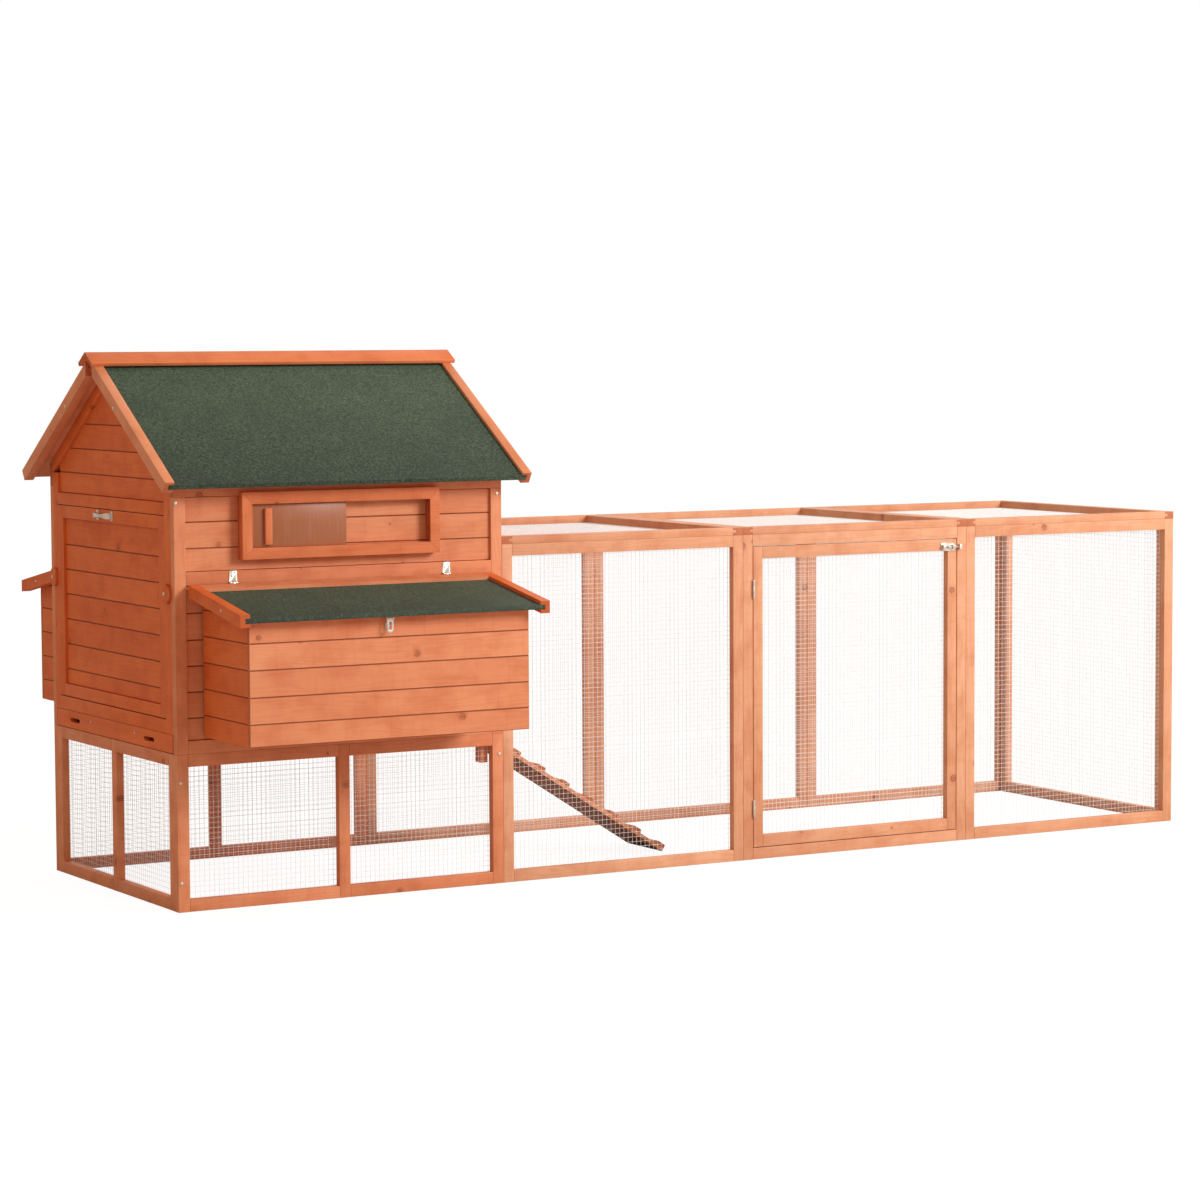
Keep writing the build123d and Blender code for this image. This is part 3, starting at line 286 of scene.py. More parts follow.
def stained_wood(looks):
    """Orange-stained softwood whose grain follows each timber's own axes."""
    paint = Paint("stained softwood")
    grain = paint.stored("grain", "Vector")
    names = ("tone", "stain", "cut", "groove", "worn")
    tone, stain, cut, groove, worn = (paint.stored(name) for name in names)
    across = paint.axis(grain, "Y")
    depth = paint.axis(grain, "Z")
    # Round knots, one here and there along a board, each a branch that runs through its depth
    flat = paint.scaled(grain, (KNOT_CELLS[0], KNOT_CELLS[1], 0.0))
    chance = paint.cells(flat, 1.0, "2D", "Color")
    heart = paint.cells(flat, 1.0, "2D", "Position")
    offset = paint.add("ShaderNodeVectorMath", {"operation": "SUBTRACT"}, {0: heart, 1: flat})
    offset = paint.scaled(offset, (1 / KNOT_CELLS[0], 1 / KNOT_CELLS[1], 0.0))
    swirl = paint.noise(paint.scaled(grain, (30.0, 70.0, 70.0)), 1.0, 2.0)
    reach = paint.add("ShaderNodeVectorMath", {"operation": "LENGTH"}, {0: offset}, "Value")
    reach = reach + (swirl - 0.5) * 0.006
    size = KNOT_RADIUS[0] + KNOT_RADIUS[1] * paint.axis(chance, "Y") ** 2.0
    knotty = paint.axis(chance, "X").fade(0.50, 0.54) * (1 - cut)
    away = reach / size
    knot = away.fade(1.1, 0.7) * knotty
    rim = (away.fade(0.7, 1.1) * away.fade(1.9, 1.2)) * knotty
    halo = away.fade(4.5, 1.2) * knotty
    # Rings round a heart that lies off the timber's middle, pushed aside by the knots
    bend = paint.noise(paint.scaled(grain, (1.6, 7.0, 7.0)), 1.0, 2.0)
    wander = paint.noise(paint.scaled(grain, (5.0, 34.0, 34.0)), 1.0, 2.0)
    side = across + 0.11 * (bend - 0.5)
    deep = depth + 0.026 + 0.016 * (wander - 0.5)
    far = paint.add("ShaderNodeMath", {"operation": "SQRT"}, {0: side * side + deep * deep})
    ring = far * RING_RATE + halo * 6.0 + wander * 2.0
    wave = paint.add("ShaderNodeMath", {"operation": "SINE"}, {0: ring}) * 0.5 + 0.5
    late = wave ** 3.0
    fibre = paint.noise(paint.scaled(grain, (7.0, 380.0, 380.0)), 1.0, 3.0)
    blotch = paint.noise(paint.scaled(grain, (13.0, 16.0, 16.0)), 1.0, 4.0)
    drift = paint.noise(paint.scaled(grain, (2.5, 5.0, 5.0)), 1.0, 2.0)
    chatter = paint.noise(paint.scaled(grain, (70.0, 5.0, 5.0)), 1.0, 1.0)
    pores = paint.noise(paint.scaled(grain, (60.0, 1400.0, 1400.0)), 1.0, 2.0)
    # How deep the stain is, with painted light on the run and painted shade on the gable and the timbers
    # that face the coop's ends
    body = paint.mix(stain, colour(looks.light_stain), colour(looks.deep_stain))
    darker, knots = colour(looks.late_wood), colour(looks.knots)
    for amount, shade in (
        (late * 0.20, darker),
        (blotch.fade(0.40, 0.70) * 0.46, darker),
        (drift.fade(0.30, 0.70) * 0.30, darker),
        (fibre.fade(0.50, 0.80) * 0.20, darker),
        (chatter.fade(0.52, 0.76) * 0.16, darker),
        (pores.fade(0.60, 0.78) * 0.16, colour(looks.pores)),
        ((tone * 0.5 + 0.5) * 0.30, darker),
        (halo * 0.28, darker),
    ):
        body = paint.mix(amount, body, shade, "MULTIPLY")
    for amount, cover in (
        (knot * 0.42, knots),
        (rim * swirl.fade(0.30, 0.62) * 0.75, knots),
        (away.fade(0.55, 0.15) * knotty * 0.55, knots),
        (cut * 0.62, colour(looks.end_grain)),
        # Painted highlight: the rounded edges of timbers are lightened towards the light stain
        (worn * 0.30, colour(looks.light_stain)),
        # The grooves between boards are darkened, and the ramp's underside too as painted shade
        (groove * 0.78, knots),
    ):
        body = paint.mix(amount, body, cover)
    height = fibre * 0.30 + late * 0.22 - pores * 0.25 + chatter * 0.25 - knot * 0.3
    bump = paint.bump(height, 0.22, 0.0006)
    rough = 0.58 + 0.12 * fibre - 0.14 * knot + 0.14 * cut
    return paint.finish(Base_Color=body, Roughness=rough, Normal=bump, IOR=1.45)


def roof_felt(looks):
    """Green mineral felt: loose granules pressed in bitumen, thin along the folds."""
    paint = Paint("mineral roofing felt")
    place = paint.place()
    edge = paint.stored("edge")
    grit = paint.cells(place, 520.0, "3D", "Distance")
    speck = paint.cells(place, 520.0, "3D", "Color")
    blend = {0: speck, 1: (0.5, 0.3, 0.2)}
    value = paint.add("ShaderNodeVectorMath", {"operation": "DOT_PRODUCT"}, blend, "Value")
    clump = paint.noise(place, 150.0, 3.0)
    cloud = paint.noise(place, 9.0, 4.0)
    wide = paint.noise(place, 2.4, 2.0)
    bare = (0.98 - clump + 0.20 * edge).fade(0.60, 0.72)
    body = paint.mix(value.fade(0.30, 0.85), colour(looks.felt_dark), colour(looks.felt_light))
    body = paint.mix(clump.fade(0.42, 0.62) * 0.55, body, colour(looks.felt_light))
    body = paint.mix(cloud.fade(0.35, 0.75) * 0.30, body, colour(looks.felt_dark))
    body = paint.mix(value.fade(0.80, 0.88) * 0.55, body, colour(looks.felt_chips))
    body = paint.mix(bare * 0.6, body, colour(looks.bitumen))
    body = paint.mix(edge * 0.35, body, colour(looks.bitumen))
    height = (grit * -0.5 + value * 0.5) * (1 - bare) + wide * 0.6 + clump * 0.4
    bump = paint.bump(height, 0.7, 0.0013)
    rough = 0.93 - 0.25 * bare
    return paint.finish(Base_Color=body, Roughness=rough, Normal=bump)


def plated_steel(looks):
    """Bright zinc-plated steel with a faint yellow bloom."""
    paint = Paint("zinc-plated steel")
    place = paint.place()
    cloud = paint.noise(place, 70.0, 3.0)
    bloom = paint.noise(place, 25.0, 2.0)
    fine = paint.noise(place, 900.0, 2.0)
    body = paint.mix(cloud.fade(0.3, 0.7), colour(looks.zinc), (0.58, 0.57, 0.53, 1.0))
    body = paint.mix(bloom.fade(0.5, 0.8) * 0.4, body, (0.80, 0.74, 0.54, 1.0))
    bump = paint.bump(fine, 0.08, 0.0002)
    rough = 0.30 + 0.16 * cloud
    return paint.finish(Base_Color=body, Metallic=0.72, Roughness=rough, Normal=bump)


def hole_shade_steel():
    """Screw steel made near black as painted shade of the hinges' countersinks."""
    paint = Paint("dark screw steel")
    place = paint.place()
    cloud = paint.noise(place, 300.0, 2.0)
    body = paint.mix(cloud.fade(0.3, 0.7), (0.09, 0.08, 0.07, 1.0), (0.045, 0.04, 0.035, 1.0))
    return paint.finish(Base_Color=body, Metallic=0.6, Roughness=0.42 + 0.15 * cloud)


def galvanised_wire(looks):
    """Pale hot-dipped wire with duller patches."""
    paint = Paint("galvanised wire")
    place = paint.place()
    cloud = paint.noise(place, 140.0, 2.0)
    body = paint.mix(cloud.fade(0.3, 0.7) * 0.6, colour(looks.wire_colour), (0.82, 0.86, 0.90, 1.0))
    return paint.finish(Base_Color=body, Metallic=0.05, Roughness=0.42 + 0.15 * cloud)


def tinted_pane(looks):
    """Brown-tinted clear plastic with fine upright scuffs."""
    paint = Paint("tinted plastic pane")
    place = paint.place()
    scuff = paint.noise(paint.scaled(place, (300.0, 1.0, 14.0)), 1.0, 2.0)
    dust = paint.noise(place, 12.0, 2.0)
    body = paint.mix(scuff.fade(0.45, 0.8) * 0.22, colour(looks.pane_colour), (0.55, 0.30, 0.18, 1.0))
    return paint.finish(Base_Color=body, Roughness=0.26 + 0.16 * dust, Alpha=0.86 + 0.06 * scuff)


# ---------------------------------------------------------------- shaping helpers

def nothing_selected():
    """Leaves object mode with nothing selected."""
    if bpy.context.object and bpy.context.object.mode != "OBJECT":
        bpy.ops.object.mode_set(mode="OBJECT")
    bpy.ops.object.select_all(action="DESELECT")


def only(piece):
    """Makes a piece the only selected and active one."""
    nothing_selected()
    piece.select_set(True)
    bpy.context.view_layer.objects.active = piece


def edit_all(piece):
    """Enters edit mode on a piece with everything selected."""
    only(piece)
    bpy.ops.object.mode_set(mode="EDIT")
    bpy.ops.mesh.select_all(action="SELECT")


def joined(pieces):
    """Joins pieces into the first of them and returns it."""
    nothing_selected()
    for piece in pieces:
        piece.select_set(True)
    bpy.context.view_layer.objects.active = pieces[0]
    if len(pieces) > 1:
        bpy.ops.object.join()
    return bpy.context.view_layer.objects.active


def linked(name, mesh):
    """Returns a new object of the scene with a copy of a mesh."""
    piece = bpy.data.objects.new(name, mesh.copy())
    bpy.context.scene.collection.objects.link(piece)
    return piece


def remove(piece):
    """Deletes a piece."""
    only(piece)
    bpy.ops.object.delete()


def modify(piece, kind, **settings):
    """Adds one modifier and applies it."""
    only(piece)
    modifier = piece.modifiers.new(kind.lower(), kind)
    for key, value in settings.items():
        setattr(modifier, key, value)
    bpy.ops.object.modifier_apply(modifier=modifier.name)


def settle(piece):
    """Puts a piece's place and turn in its mesh."""
    only(piece)
    bpy.ops.object.transform_apply(location=True, rotation=True, scale=True)


def node_copy(node, name):
    """Returns a closed copy of a CAD node that stands for it."""
    piece = linked(name, frame["nodes"][node].data)
    piece.data.materials.clear()
    edit_all(piece)
    bpy.ops.mesh.remove_doubles(threshold=SAME_POINT)
    bpy.ops.mesh.dissolve_limited(angle_limit=SAME_FACE)
    bpy.ops.object.mode_set(mode="OBJECT")
    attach(piece, BODY_OF[node])
    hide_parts(node)
    return piece


def dress(piece, material):
    """Gives a piece its material."""
    piece.data.materials.clear()
    piece.data.materials.append(material)


def solids_of(mesh):
    """Returns, for every point of a mesh, the number of the separate solid it belongs to."""
    count = len(mesh.vertices)
    ends = np.zeros(len(mesh.edges) * 2, np.int32)
    mesh.edges.foreach_get("vertices", ends)
    first, second = ends[0::2], ends[1::2]
    label = np.arange(count)
    while True:
        low = np.minimum(label[first], label[second])
        before = label.copy()
        np.minimum.at(label, first, low)
        np.minimum.at(label, second, low)
        label = label[label]
        if (label == before).all():
            break
    return np.unique(label, return_inverse=True)[1]


def shaded_stain_of(node, faces_end):
    """Returns how deep a timber's stain is, with painted shade added to house timbers that face the coop's
    ends.
    """
    depth = STAINS_AND_SHADING.get(node.split("_")[0], HOUSE_STAIN)
    return min(1.0, depth + END_SHADE) if faces_end and depth >= HOUSE_STAIN else depth


def is_boards(node):
    """Tells whether a node is made of boards laid edge to edge."""
    return any(word in node for word in BOARDS)


def face_values(mesh, name, values):
    """Stores one number for each face."""
    attribute = mesh.attributes.new(name, "FLOAT", "FACE")
    attribute.data.foreach_set("value", np.asarray(values, np.float32))


def grain_of(piece, node, seed):
    """Stores, for each timber of a piece, its grain, tone, stain with painted light and shade, end grain,
    grooves with painted shade under the ramp, and painted highlights on its rounded edges.
    """
    mesh = piece.data
    points = np.zeros(len(mesh.vertices) * 3, np.float32)
    mesh.vertices.foreach_get("co", points)
    points = points.reshape(-1, 3).astype(float)
    normals = np.zeros(len(mesh.polygons) * 3, np.float32)
    mesh.polygons.foreach_get("normal", normals)
    normals = normals.reshape(-1, 3).astype(float)
    owner = solids_of(mesh)
    face_owner = owner[[face.vertices[0] for face in mesh.polygons]]
    grain = np.zeros_like(points)
    tone = np.zeros(len(points))
    stain = np.zeros(len(normals))
    cut = np.zeros(len(normals))
    slanted = np.zeros(len(normals))
    chance = np.random.default_rng(seed)
    for number in range(owner.max() + 1):
        mine = owner == number
        own = points[mine]
        middle = (own.min(0) + own.max(0)) / 2
        spread = np.unique(np.round(own - own.mean(0), 4), axis=0)
        axes = np.linalg.svd(spread, full_matrices=False)[2]
        for axis in axes:
            if axis[np.argmax(np.abs(axis))] < 0:
                axis *= -1
        shift = chance.uniform(-GRAIN_SHIFT, GRAIN_SHIFT, 3) * np.array((1.0, 0.0, 0.0))
        off_side = chance.uniform(-HEART_SHIFT, HEART_SHIFT)
        heart = np.array((0.0, off_side, chance.uniform(0.0, HEART_SHIFT)))
        local = (own - middle) @ axes.T
        flip = 1 if chance.random() < 0.5 else -1
        local[:, 2] *= flip
        grain[mine] = local + shift + heart
        tone[mine] = chance.uniform(-1, 1)
        its_faces = face_owner == number
        turned = np.abs(normals[its_faces] @ axes.T)
        cut[its_faces] = turned[:, 0] > END_FACE
        slanted[its_faces] = (turned.max(1) < SQUARE_FACE) & (turned[:, 0] < SIDE_FACE)
        stain[its_faces] = shaded_stain_of(node, abs(axes[2][0]) > FACES_END)
    vectors = mesh.attributes.new("grain", "FLOAT_VECTOR", "POINT")
    vectors.data.foreach_set("vector", grain.astype(np.float32).ravel())
    numbers = mesh.attributes.new("tone", "FLOAT", "POINT")
    numbers.data.foreach_set("value", tone.astype(np.float32))
    boards = is_boards(node)
    groove = slanted if boards else slanted * 0
    if node == "ramp_board":
        # Painted shade: its underside is made as dark as a groove
        groove[normals[:, 2] < -0.5] = 1.0
    face_values(mesh, "stain", stain)
    face_values(mesh, "cut", cut)
    face_values(mesh, "groove", groove)
    # Painted highlight on the rounded edges of every timber but the boards
    face_values(mesh, "worn", slanted * 0 if boards else slanted)


def rounded(piece, width, segments=2, angle=40.0):
    """Rounds a piece's sharp edges and shades it smooth between them."""
    modify(piece, "BEVEL", width=width, segments=segments, limit_method="ANGLE",
           angle_limit=math.radians(angle), use_clamp_overlap=True)
    only(piece)
    bpy.ops.object.shade_smooth_by_angle(angle=SMOOTH_ANGLE)


# ---------------------------------------------------------------- sizes and colours

class CoopLooks(bpy.types.PropertyGroup):
    """Sizes and colours of the coop's finishes."""

    wire_pitch: bpy.props.FloatProperty(
        name="Wire pitch", description="Spacing of the welded wires", default=0.0127, unit="LENGTH")
    wire_radius: bpy.props.FloatProperty(
        name="Wire radius", description="Radius of one wire", default=0.00036, unit="LENGTH")
    edge_radius: bpy.props.FloatProperty(
        name="Edge radius", description="Rounding of the timbers' edges", default=0.0009, unit="LENGTH")
    light_stain: bpy.props.FloatVectorProperty(
        name="Light stain", description="Wood stained once", default=(0.79, 0.42, 0.25), subtype="COLOR")
    deep_stain: bpy.props.FloatVectorProperty(
        name="Deep stain", description="Wood stained twice", default=(0.80, 0.175, 0.030), subtype="COLOR")
    late_wood: bpy.props.FloatVectorProperty(
        name="Late wood", description="How rings, blotches and fibres darken the stain",
        default=(0.78, 0.54, 0.38), subtype="COLOR")
    end_grain: bpy.props.FloatVectorProperty(
        name="End grain", description="Sawn ends that drank the stain",
        default=(0.40, 0.075, 0.018), subtype="COLOR")
    # The knots colour also paints the shade on the ramp's underside
    knots: bpy.props.FloatVectorProperty(
        name="Knots", description="Knots and the grooves between boards",
        default=(0.23, 0.050, 0.014), subtype="COLOR")
    pores: bpy.props.FloatVectorProperty(
        name="Pores", description="How pores darken the stain", default=(0.55, 0.38, 0.30), subtype="COLOR")
    felt_dark: bpy.props.FloatVectorProperty(
        name="Felt ground", description="Darker felt granules",
        default=(0.026, 0.050, 0.030), subtype="COLOR")
    felt_light: bpy.props.FloatVectorProperty(
        name="Felt granules", description="Lighter felt granules",
        default=(0.105, 0.158, 0.100), subtype="COLOR")
    felt_chips: bpy.props.FloatVectorProperty(
        name="Felt chips", description="The palest mineral chips",
        default=(0.26, 0.31, 0.24), subtype="COLOR")
    bitumen: bpy.props.FloatVectorProperty(
        name="Bitumen", description="Bare felt between the granules",
        default=(0.012, 0.020, 0.014), subtype="COLOR")
    zinc: bpy.props.FloatVectorProperty(
        name="Zinc", description="Plating of the fittings", default=(0.80, 0.79, 0.75), subtype="COLOR")
    wire_colour: bpy.props.FloatVectorProperty(
        name="Wire colour", description="Zinc of the wire", default=(0.93, 0.96, 0.98), subtype="COLOR")
    pane_colour: bpy.props.FloatVectorProperty(
        name="Pane colour", description="Tint of the sliding pane",
        default=(0.43, 0.135, 0.052), subtype="COLOR")


class CoopStage(bpy.types.PropertyGroup):
    """Camera and light."""

    lens: bpy.props.FloatProperty(
        name="Lens", description="Camera's focal length in millimetres", default=105.62)
    key_power: bpy.props.FloatProperty(
        name="Key light", description="Power of the soft box in watts", default=480.0)
    sky_strength: bpy.props.FloatProperty(
        name="Room light", description="Strength of the even light all round", default=0.62)
    back_strength: bpy.props.FloatProperty(
        name="Back light", description="Strength of the faint light from behind", default=0.8)


# ---------------------------------------------------------------- operators

class COOP_OT_timber(bpy.types.Operator):
    """Rounds the edges of every timber but the boards and gives each its grain"""

    bl_idname = "coop.timber"
    bl_label = "Timber"

    def execute(self, context):
        looks = context.scene.coop_looks
        wood = stained_wood(looks)
        for number, node in enumerate(nodes_of("stained_wood")):
            piece = node_copy(node, "timber_" + node)
            if not is_boards(node):
                rounded(piece, looks.edge_radius)
            grain_of(piece, node, FIRST_SEED + number)
            dress(piece, wood)
        return {"FINISHED"}


class COOP_OT_felt(bpy.types.Operator):
    """Lays felt with rounded folds on the roof and the nest lids"""

    bl_idname = "coop.felt"
    bl_label = "Felt"

    def execute(self, context):
        felt = roof_felt(context.scene.coop_looks)
        for node, limit in FELT_EDGES.items():
            piece = node_copy(node, "felt_" + node)
            rounded(piece, FELT_FOLD, segments=3, angle=30.0)
            edge = piece.data.attributes.new("edge", "FLOAT", "POINT")
            values = [1.0 if abs(vertex.co.y) > limit else 0.0 for vertex in piece.data.vertices]
            edge.data.foreach_set("value", values)
            dress(piece, felt)
        return {"FINISHED"}


def round_leaves(piece):
    """Rounds the top corners of the lid hinges' wall leaves."""
    edit_all(piece)
    bpy.ops.mesh.select_all(action="DESELECT")
    bpy.ops.object.mode_set(mode="OBJECT")
    mesh = piece.data
    top = max(vertex.co.z for vertex in mesh.vertices)
    for edge in mesh.edges:
        first, second = (mesh.vertices[index].co for index in edge.vertices)
        crosses = abs(first.x - second.x) < LEVEL_EDGE and abs(first.y - second.y) > SHORT_EDGE
        edge.select = crosses and min(first.z, second.z) > top - TOP_BAND
    bpy.ops.object.mode_set(mode="EDIT")
    bpy.ops.mesh.select_mode(type="EDGE")
    bpy.ops.mesh.bevel(offset=LEAF_CORNER, segments=5)
    bpy.ops.object.mode_set(mode="OBJECT")


def flare_handle(piece):
    """Draws the pull handle in to a waist and flares it towards its two ends."""
    low, high = (np.array(corner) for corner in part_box("door_handle"))
    middle = (low + high) / 2
    half = (high[1] - low[1]) / 2
    for share in HANDLE_CUTS:
        edit_all(piece)
        place = (middle[0], middle[1] + share * half, middle[2])
        bpy.ops.mesh.bisect(plane_co=place, plane_no=(0.0, 1.0, 0.0))
        bpy.ops.object.mode_set(mode="OBJECT")
    for vertex in piece.data.vertices:
        if abs(vertex.co.z - middle[2]) < HANDLE_BOW:
            along = min(abs(vertex.co.y - middle[1]) / half, HANDLE_FLARE_END)
            wide = HANDLE_WAIST + HANDLE_FLARE * along ** 2
            vertex.co.z = middle[2] + (vertex.co.z - middle[2]) * wide


class COOP_OT_fittings(bpy.types.Operator):
    """Rounds the hinges, latches, handle, bolt and screws"""

    bl_idname = "coop.fittings"
    bl_label = "Fittings"

    def execute(self, context):
        steel = plated_steel(context.scene.coop_looks)
        for node in nodes_of("plated_steel"):
            piece = node_copy(node, "steel_" + node)
            if node == "door_handle":
                flare_handle(piece)
            if node == "lid_hinges_fixed":
                round_leaves(piece)
            rounded(piece, FINE_EDGE, angle=35.0)
            dress(piece, steel)
        return {"FINISHED"}


def screw_head(name, radius, height):
    """Models one pan head with a cross recess, its crown towards +Z."""
    nothing_selected()
    middle = (0.0, 0.0, height / 2)
    bpy.ops.mesh.primitive_cylinder_add(vertices=HEAD_SIDES, radius=radius, depth=height, location=middle)
    head = bpy.context.active_object
    head.name = name
    settle(head)
    modify(head, "BEVEL", width=height * HEAD_CROWN, segments=2, limit_method="ANGLE")
    for turn in (0.0, math.pi / 2):
        nothing_selected()
        bpy.ops.mesh.primitive_cube_add(size=1.0, location=(0.0, 0.0, height), rotation=(0.0, 0.0, turn))
        slot = bpy.context.active_object
        slot.scale = (radius * HEAD_RECESS[0], radius * HEAD_RECESS[1], height * HEAD_RECESS[2])
        settle(slot)
        modify(head, "BOOLEAN", operation="DIFFERENCE", object=slot, solver="EXACT")
        remove(slot)
    return head


def set_screws(pattern, name, body, places, material):
    """Copies a screw head to each place, a point and an outward direction, as one piece."""
    copies = []
    for point, outward in places:
        copy = linked(name, pattern.data)
        turn = Vector(outward).to_track_quat("Z", "Y").to_matrix().to_4x4()
        copy.matrix_world = Matrix.Translation(point) @ turn
        copies.append(copy)
    piece = joined(copies)
    piece.name = name
    settle(piece)
    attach(piece, body)
    dress(piece, material)


class COOP_OT_screws(bpy.types.Operator):
    """Sets the screws of the lid hinges, the lids' barges and the tray"""

    bl_idname = "coop.screws"
    bl_label = "Screws"

    def execute(self, context):
        pan = screw_head("pan_head", *PAN_HEAD)
        small = screw_head("small_head", *SMALL_HEAD)
        # The hinge screws' near-black steel is painted shade of their countersinks
        dark = hole_shade_steel()
        steel = plated_steel(context.scene.coop_looks)
        leaves = []
        for low, high in solid_boxes("lid_hinges_fixed"):
            side = -1 if low[1] < 0 else 1
            wall = high[1] if side < 0 else low[1]
            foot = high[2] - LEAF_TALL
            for across, up in LEAF_SCREWS:
                x = low[0] + across * (high[0] - low[0])
                leaves.append(((x, wall + side * LEAF_THICK, foot + up * LEAF_TALL), (0, side, 0)))
        set_screws(small, "hinge_screws", "coop", leaves, dark)
        for name, side in (("front", -1), ("back", 1)):
            low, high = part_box("nest_lid_" + name)
            y = side * (min(abs(low[1]), abs(high[1])) + LID_SCREW_OUT)
            z = high[2] - LID_SCREW_DROP
            places = [((low[0], y, z), (-1, 0, 0)), ((high[0], y, z), (1, 0, 0))]
            set_screws(pan, "lid_screws_" + name, "nest_lid_" + name + "_body", places, steel)
        low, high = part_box("tray")
        height = low[2] + TRAY_SCREW_UP
        places = [((low[0], side * TRAY_SCREW_Y, height), (-1, 0, 0)) for side in (-1, 1)]
        set_screws(pan, "tray_screws", "tray_body", places, steel)
        for head in (pan, small):
            remove(head)
        return {"FINISHED"}


class COOP_OT_pane(bpy.types.Operator):
    """Finishes the sliding window pane"""

    bl_idname = "coop.pane"
    bl_label = "Window pane"

    def execute(self, context):
        piece = node_copy("window_pane", "pane_sheet")
        rounded(piece, FINE_EDGE)
        dress(piece, tinted_pane(context.scene.coop_looks))
        return {"FINISHED"}


def straight_wires(looks, name, along, across, lows, highs, level):
    """Makes one set of parallel wires: along and across are axis numbers, level the third's place."""
    third = 3 - along - across
    length = highs[along] - lows[along]
    count = int((highs[across] - lows[across]) / looks.wire_pitch) + 1
    spare = (highs[across] - lows[across] - (count - 1) * looks.wire_pitch) / 2
    middle = [0.0, 0.0, 0.0]
    middle[along] = (lows[along] + highs[along]) / 2
    middle[across] = lows[across] + spare
    middle[third] = level
    nothing_selected()
    bpy.ops.mesh.primitive_cylinder_add(
        vertices=WIRE_SIDES, radius=looks.wire_radius, depth=length,
        location=middle, rotation=WIRE_TURNS[along])
    wires = bpy.context.active_object
    wires.name = name
    settle(wires)
    step = [0.0, 0.0, 0.0]
    step[across] = looks.wire_pitch
    modify(wires, "ARRAY", count=count, use_relative_offset=False, use_constant_offset=True,
           constant_offset_displace=step)
    return wires


def wire_panel(looks, name, lows, highs, normal, outer):
    """Makes a welded panel inside a thin box; outer is the face that shows the upright wires."""
    u, v = [axis for axis in range(3) if axis != normal]
    middle = (lows[normal] + highs[normal]) / 2
    gap = looks.wire_radius * WIRE_STAND
    first = straight_wires(looks, name, v, u, lows, highs, middle - outer * gap)
    second = straight_wires(looks, name + "_cross", u, v, lows, highs, middle + outer * gap)
    return joined([first, second])


def solid_boxes(node):
    """Returns the low and high corners of each solid of a CAD node."""
    copy = linked("measure", frame["nodes"][node].data)
    edit_all(copy)
    bpy.ops.mesh.remove_doubles(threshold=SAME_POINT)
    bpy.ops.object.mode_set(mode="OBJECT")
    owner = solids_of(copy.data)
    points = np.array([vertex.co[:] for vertex in copy.data.vertices])
    boxes = [(points[owner == n].min(0), points[owner == n].max(0)) for n in range(owner.max() + 1)]
    remove(copy)
    return boxes


class COOP_OT_wire(bpy.types.Operator):
    """Weaves the welded wire of every frame"""

    bl_idname = "coop.wire"
    bl_label = "Wire mesh"

    def execute(self, context):
        looks = context.scene.coop_looks
        wire = galvanised_wire(looks)
        for node in nodes_of("galvanised_mesh"):
            panels = []
            for number, (low, high) in enumerate(solid_boxes(node)):
                normal = int(np.argmin(high - low))
                middle = (low + high) / 2
                outer = 1 if middle[normal] > 0 else -1
                panels.append(wire_panel(looks, node + str(number), low, high, normal, outer))
            piece = joined(panels)
            piece.name = "wire_" + node
            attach(piece, BODY_OF[node])
            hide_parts(node)
            dress(piece, wire)
        return {"FINISHED"}


def lay_floor():
    """Lays the studio floor, which the camera sees as near white."""
    nothing_selected()
    bpy.ops.mesh.primitive_plane_add(size=FLOOR_SIZE, location=(0.0, 0.0, -FLOOR_DROP))
    floor = bpy.context.active_object
    floor.name = "studio_floor"
    settle(floor)
    paint = Paint("pale studio floor")
    paint.finish(Base_Color=FLOOR_COLOUR, Roughness=0.9)
    seen = paint.add("ShaderNodeLightPath", out="Is Camera Ray") * FLOOR_WHITE
    glow = paint.add("ShaderNodeEmission", None, {"Color": WHITE, "Strength": FLOOR_GLOW})
    shaded = Wire(paint, paint.shader.outputs[0])
    both = paint.add("ShaderNodeMixShader", None, {0: seen, 1: shaded, 2: glow})
    paint.join(paint.nodes["Material Output"].inputs["Surface"], both)
    floor.data.materials.append(paint.material)


def light_room(scene, strength):
    """Fills the room with even, warm light and shows the camera a white backdrop."""
    world = scene.world or bpy.data.worlds.new("studio")
    scene.world = world
    world.use_nodes = True
    nodes = world.node_tree.nodes
    room = nodes["Background"]
    room.inputs[0].default_value = ROOM_TINT
    room.inputs[1].default_value = strength
    backdrop = nodes.new("ShaderNodeBackground")
    backdrop.inputs[0].default_value = WHITE
    path = nodes.new("ShaderNodeLightPath")
    choose = nodes.new("ShaderNodeMixShader")
    links = world.node_tree.links
    links.new(path.outputs["Is Camera Ray"], choose.inputs[0])
    links.new(room.outputs[0], choose.inputs[1])
    links.new(backdrop.outputs[0], choose.inputs[2])
    links.new(choose.outputs[0], nodes["World Output"].inputs[0])


def set_light(kind, name, place, aim, power):
    """Adds a light at a place that shines along a direction, and returns its data."""
    nothing_selected()
    bpy.ops.object.light_add(type=kind, location=place)
    light = bpy.context.active_object
    light.name = name
    light.rotation_euler = Vector(aim).to_track_quat("-Z", "Y").to_euler()
    light.data.energy = power
    return light.data


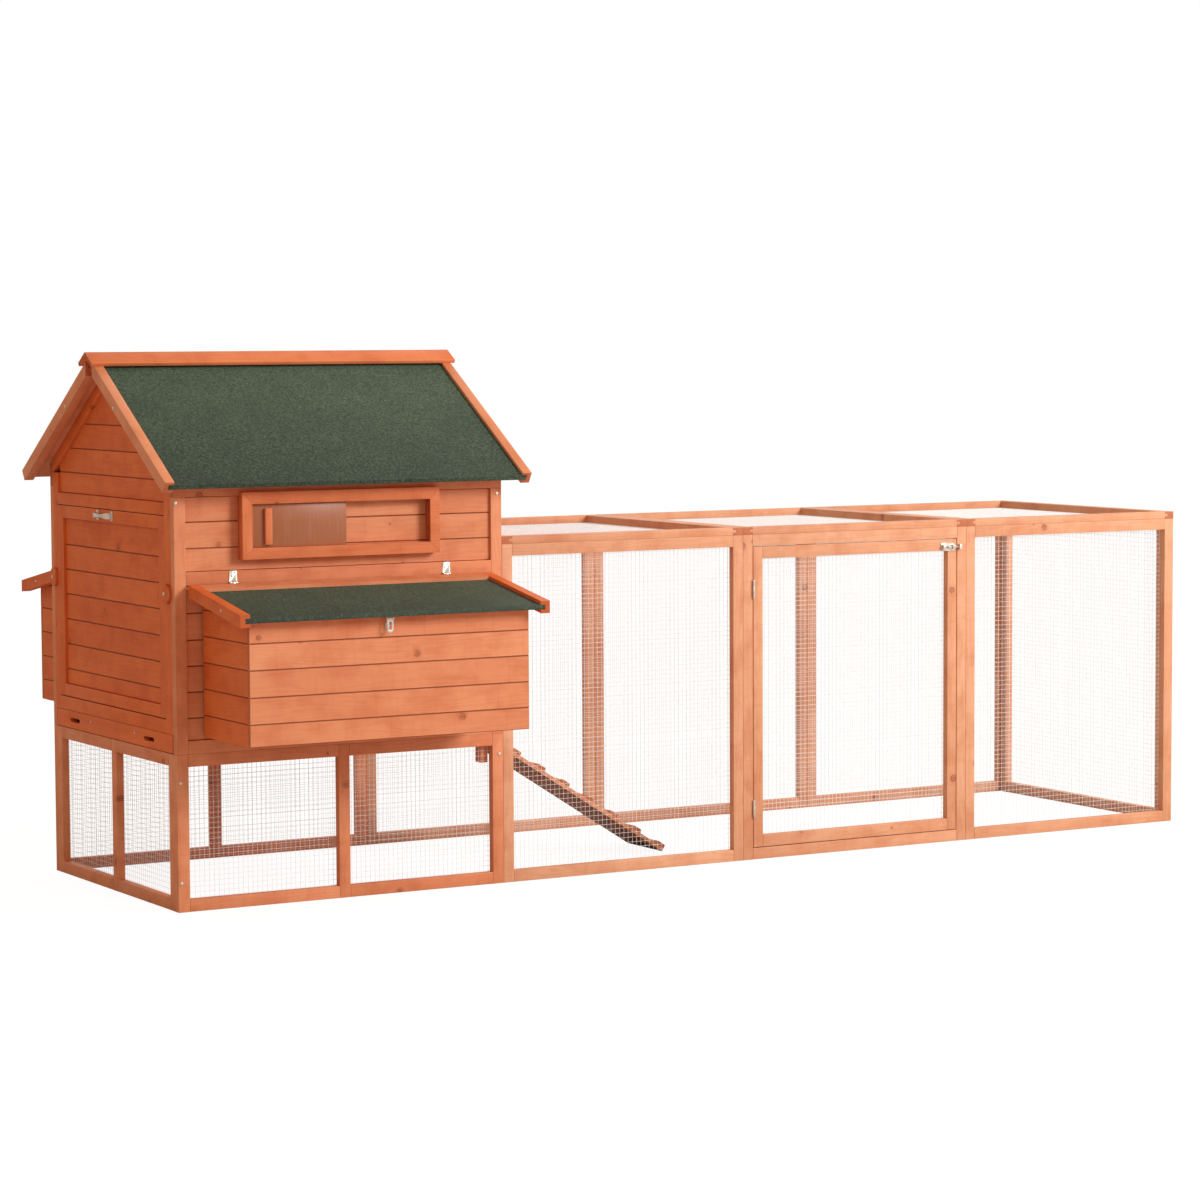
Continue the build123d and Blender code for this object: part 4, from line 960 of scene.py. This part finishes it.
def set_camera(scene, lens):
    """Stands the camera at its place, turned by its yaw, pitch and roll."""
    nothing_selected()
    bpy.ops.object.camera_add(location=CAMERA_PLACE)
    camera = bpy.context.active_object
    camera.name = "main_camera"
    yaw, pitch, roll = (math.radians(value) for value in CAMERA_TURN)
    ahead = Vector((math.sin(yaw) * math.cos(pitch), math.cos(yaw) * math.cos(pitch), math.sin(pitch)))
    level = Vector((math.cos(yaw), -math.sin(yaw), 0.0))
    upright = level.cross(ahead)
    right = level * math.cos(roll) + upright * math.sin(roll)
    up = upright * math.cos(roll) - level * math.sin(roll)
    axes = Matrix((right, up, -ahead)).transposed().to_4x4()
    camera.matrix_world = Matrix.Translation(CAMERA_PLACE) @ axes
    camera.data.lens = lens
    camera.data.sensor_width = CAMERA_SENSOR
    camera.data.clip_end = CAMERA_REACH
    scene.camera = camera


class COOP_OT_stage(bpy.types.Operator):
    """Sets the floor, the light and the camera"""

    bl_idname = "coop.stage"
    bl_label = "Stage"

    def execute(self, context):
        scene = context.scene
        stage = scene.coop_stage
        lay_floor()
        light_room(scene, stage.sky_strength)
        scene.view_settings.view_transform = "Standard"
        key = set_light("AREA", "key_light", KEY_PLACE, KEY_AIM, stage.key_power)
        key.shape = "DISK"
        key.size = KEY_SIZE
        back = set_light("SUN", "back_light", BACK_PLACE, BACK_AIM, stage.back_strength)
        back.angle = BACK_SPREAD
        set_camera(scene, stage.lens)
        return {"FINISHED"}


class COOP_PT_panel(bpy.types.Panel):
    """Lists the coop's sizes, colours and steps"""

    bl_label = "Chicken Coop"
    bl_idname = "COOP_PT_panel"
    bl_space_type = "VIEW_3D"
    bl_region_type = "UI"
    bl_category = "Coop"

    def draw(self, context):
        layout = self.layout
        for group in (context.scene.coop_looks, context.scene.coop_stage):
            for name in group.bl_rna.properties.keys():
                if name not in ("rna_type", "name"):
                    layout.prop(group, name)
        for operator in OPERATORS:
            layout.operator(operator.bl_idname)


OPERATORS = (
    COOP_OT_timber,
    COOP_OT_felt,
    COOP_OT_fittings,
    COOP_OT_screws,
    COOP_OT_pane,
    COOP_OT_wire,
    COOP_OT_stage,
)
CLASSES = (CoopLooks, CoopStage, *OPERATORS, COOP_PT_panel)


def register():
    """Registers the classes and their properties."""
    for item in CLASSES:
        bpy.utils.register_class(item)
    bpy.types.Scene.coop_looks = bpy.props.PointerProperty(type=CoopLooks)
    bpy.types.Scene.coop_stage = bpy.props.PointerProperty(type=CoopStage)


def unregister():
    """Removes the properties and classes."""
    del bpy.types.Scene.coop_stage
    del bpy.types.Scene.coop_looks
    for item in reversed(CLASSES):
        bpy.utils.unregister_class(item)


def main():
    """Builds the looks in order."""
    register()
    bpy.ops.coop.stage()
    bpy.ops.coop.timber()
    bpy.ops.coop.felt()
    bpy.ops.coop.fittings()
    bpy.ops.coop.screws()
    bpy.ops.coop.pane()
    bpy.ops.coop.wire()


if __name__ == "__main__":
    main()
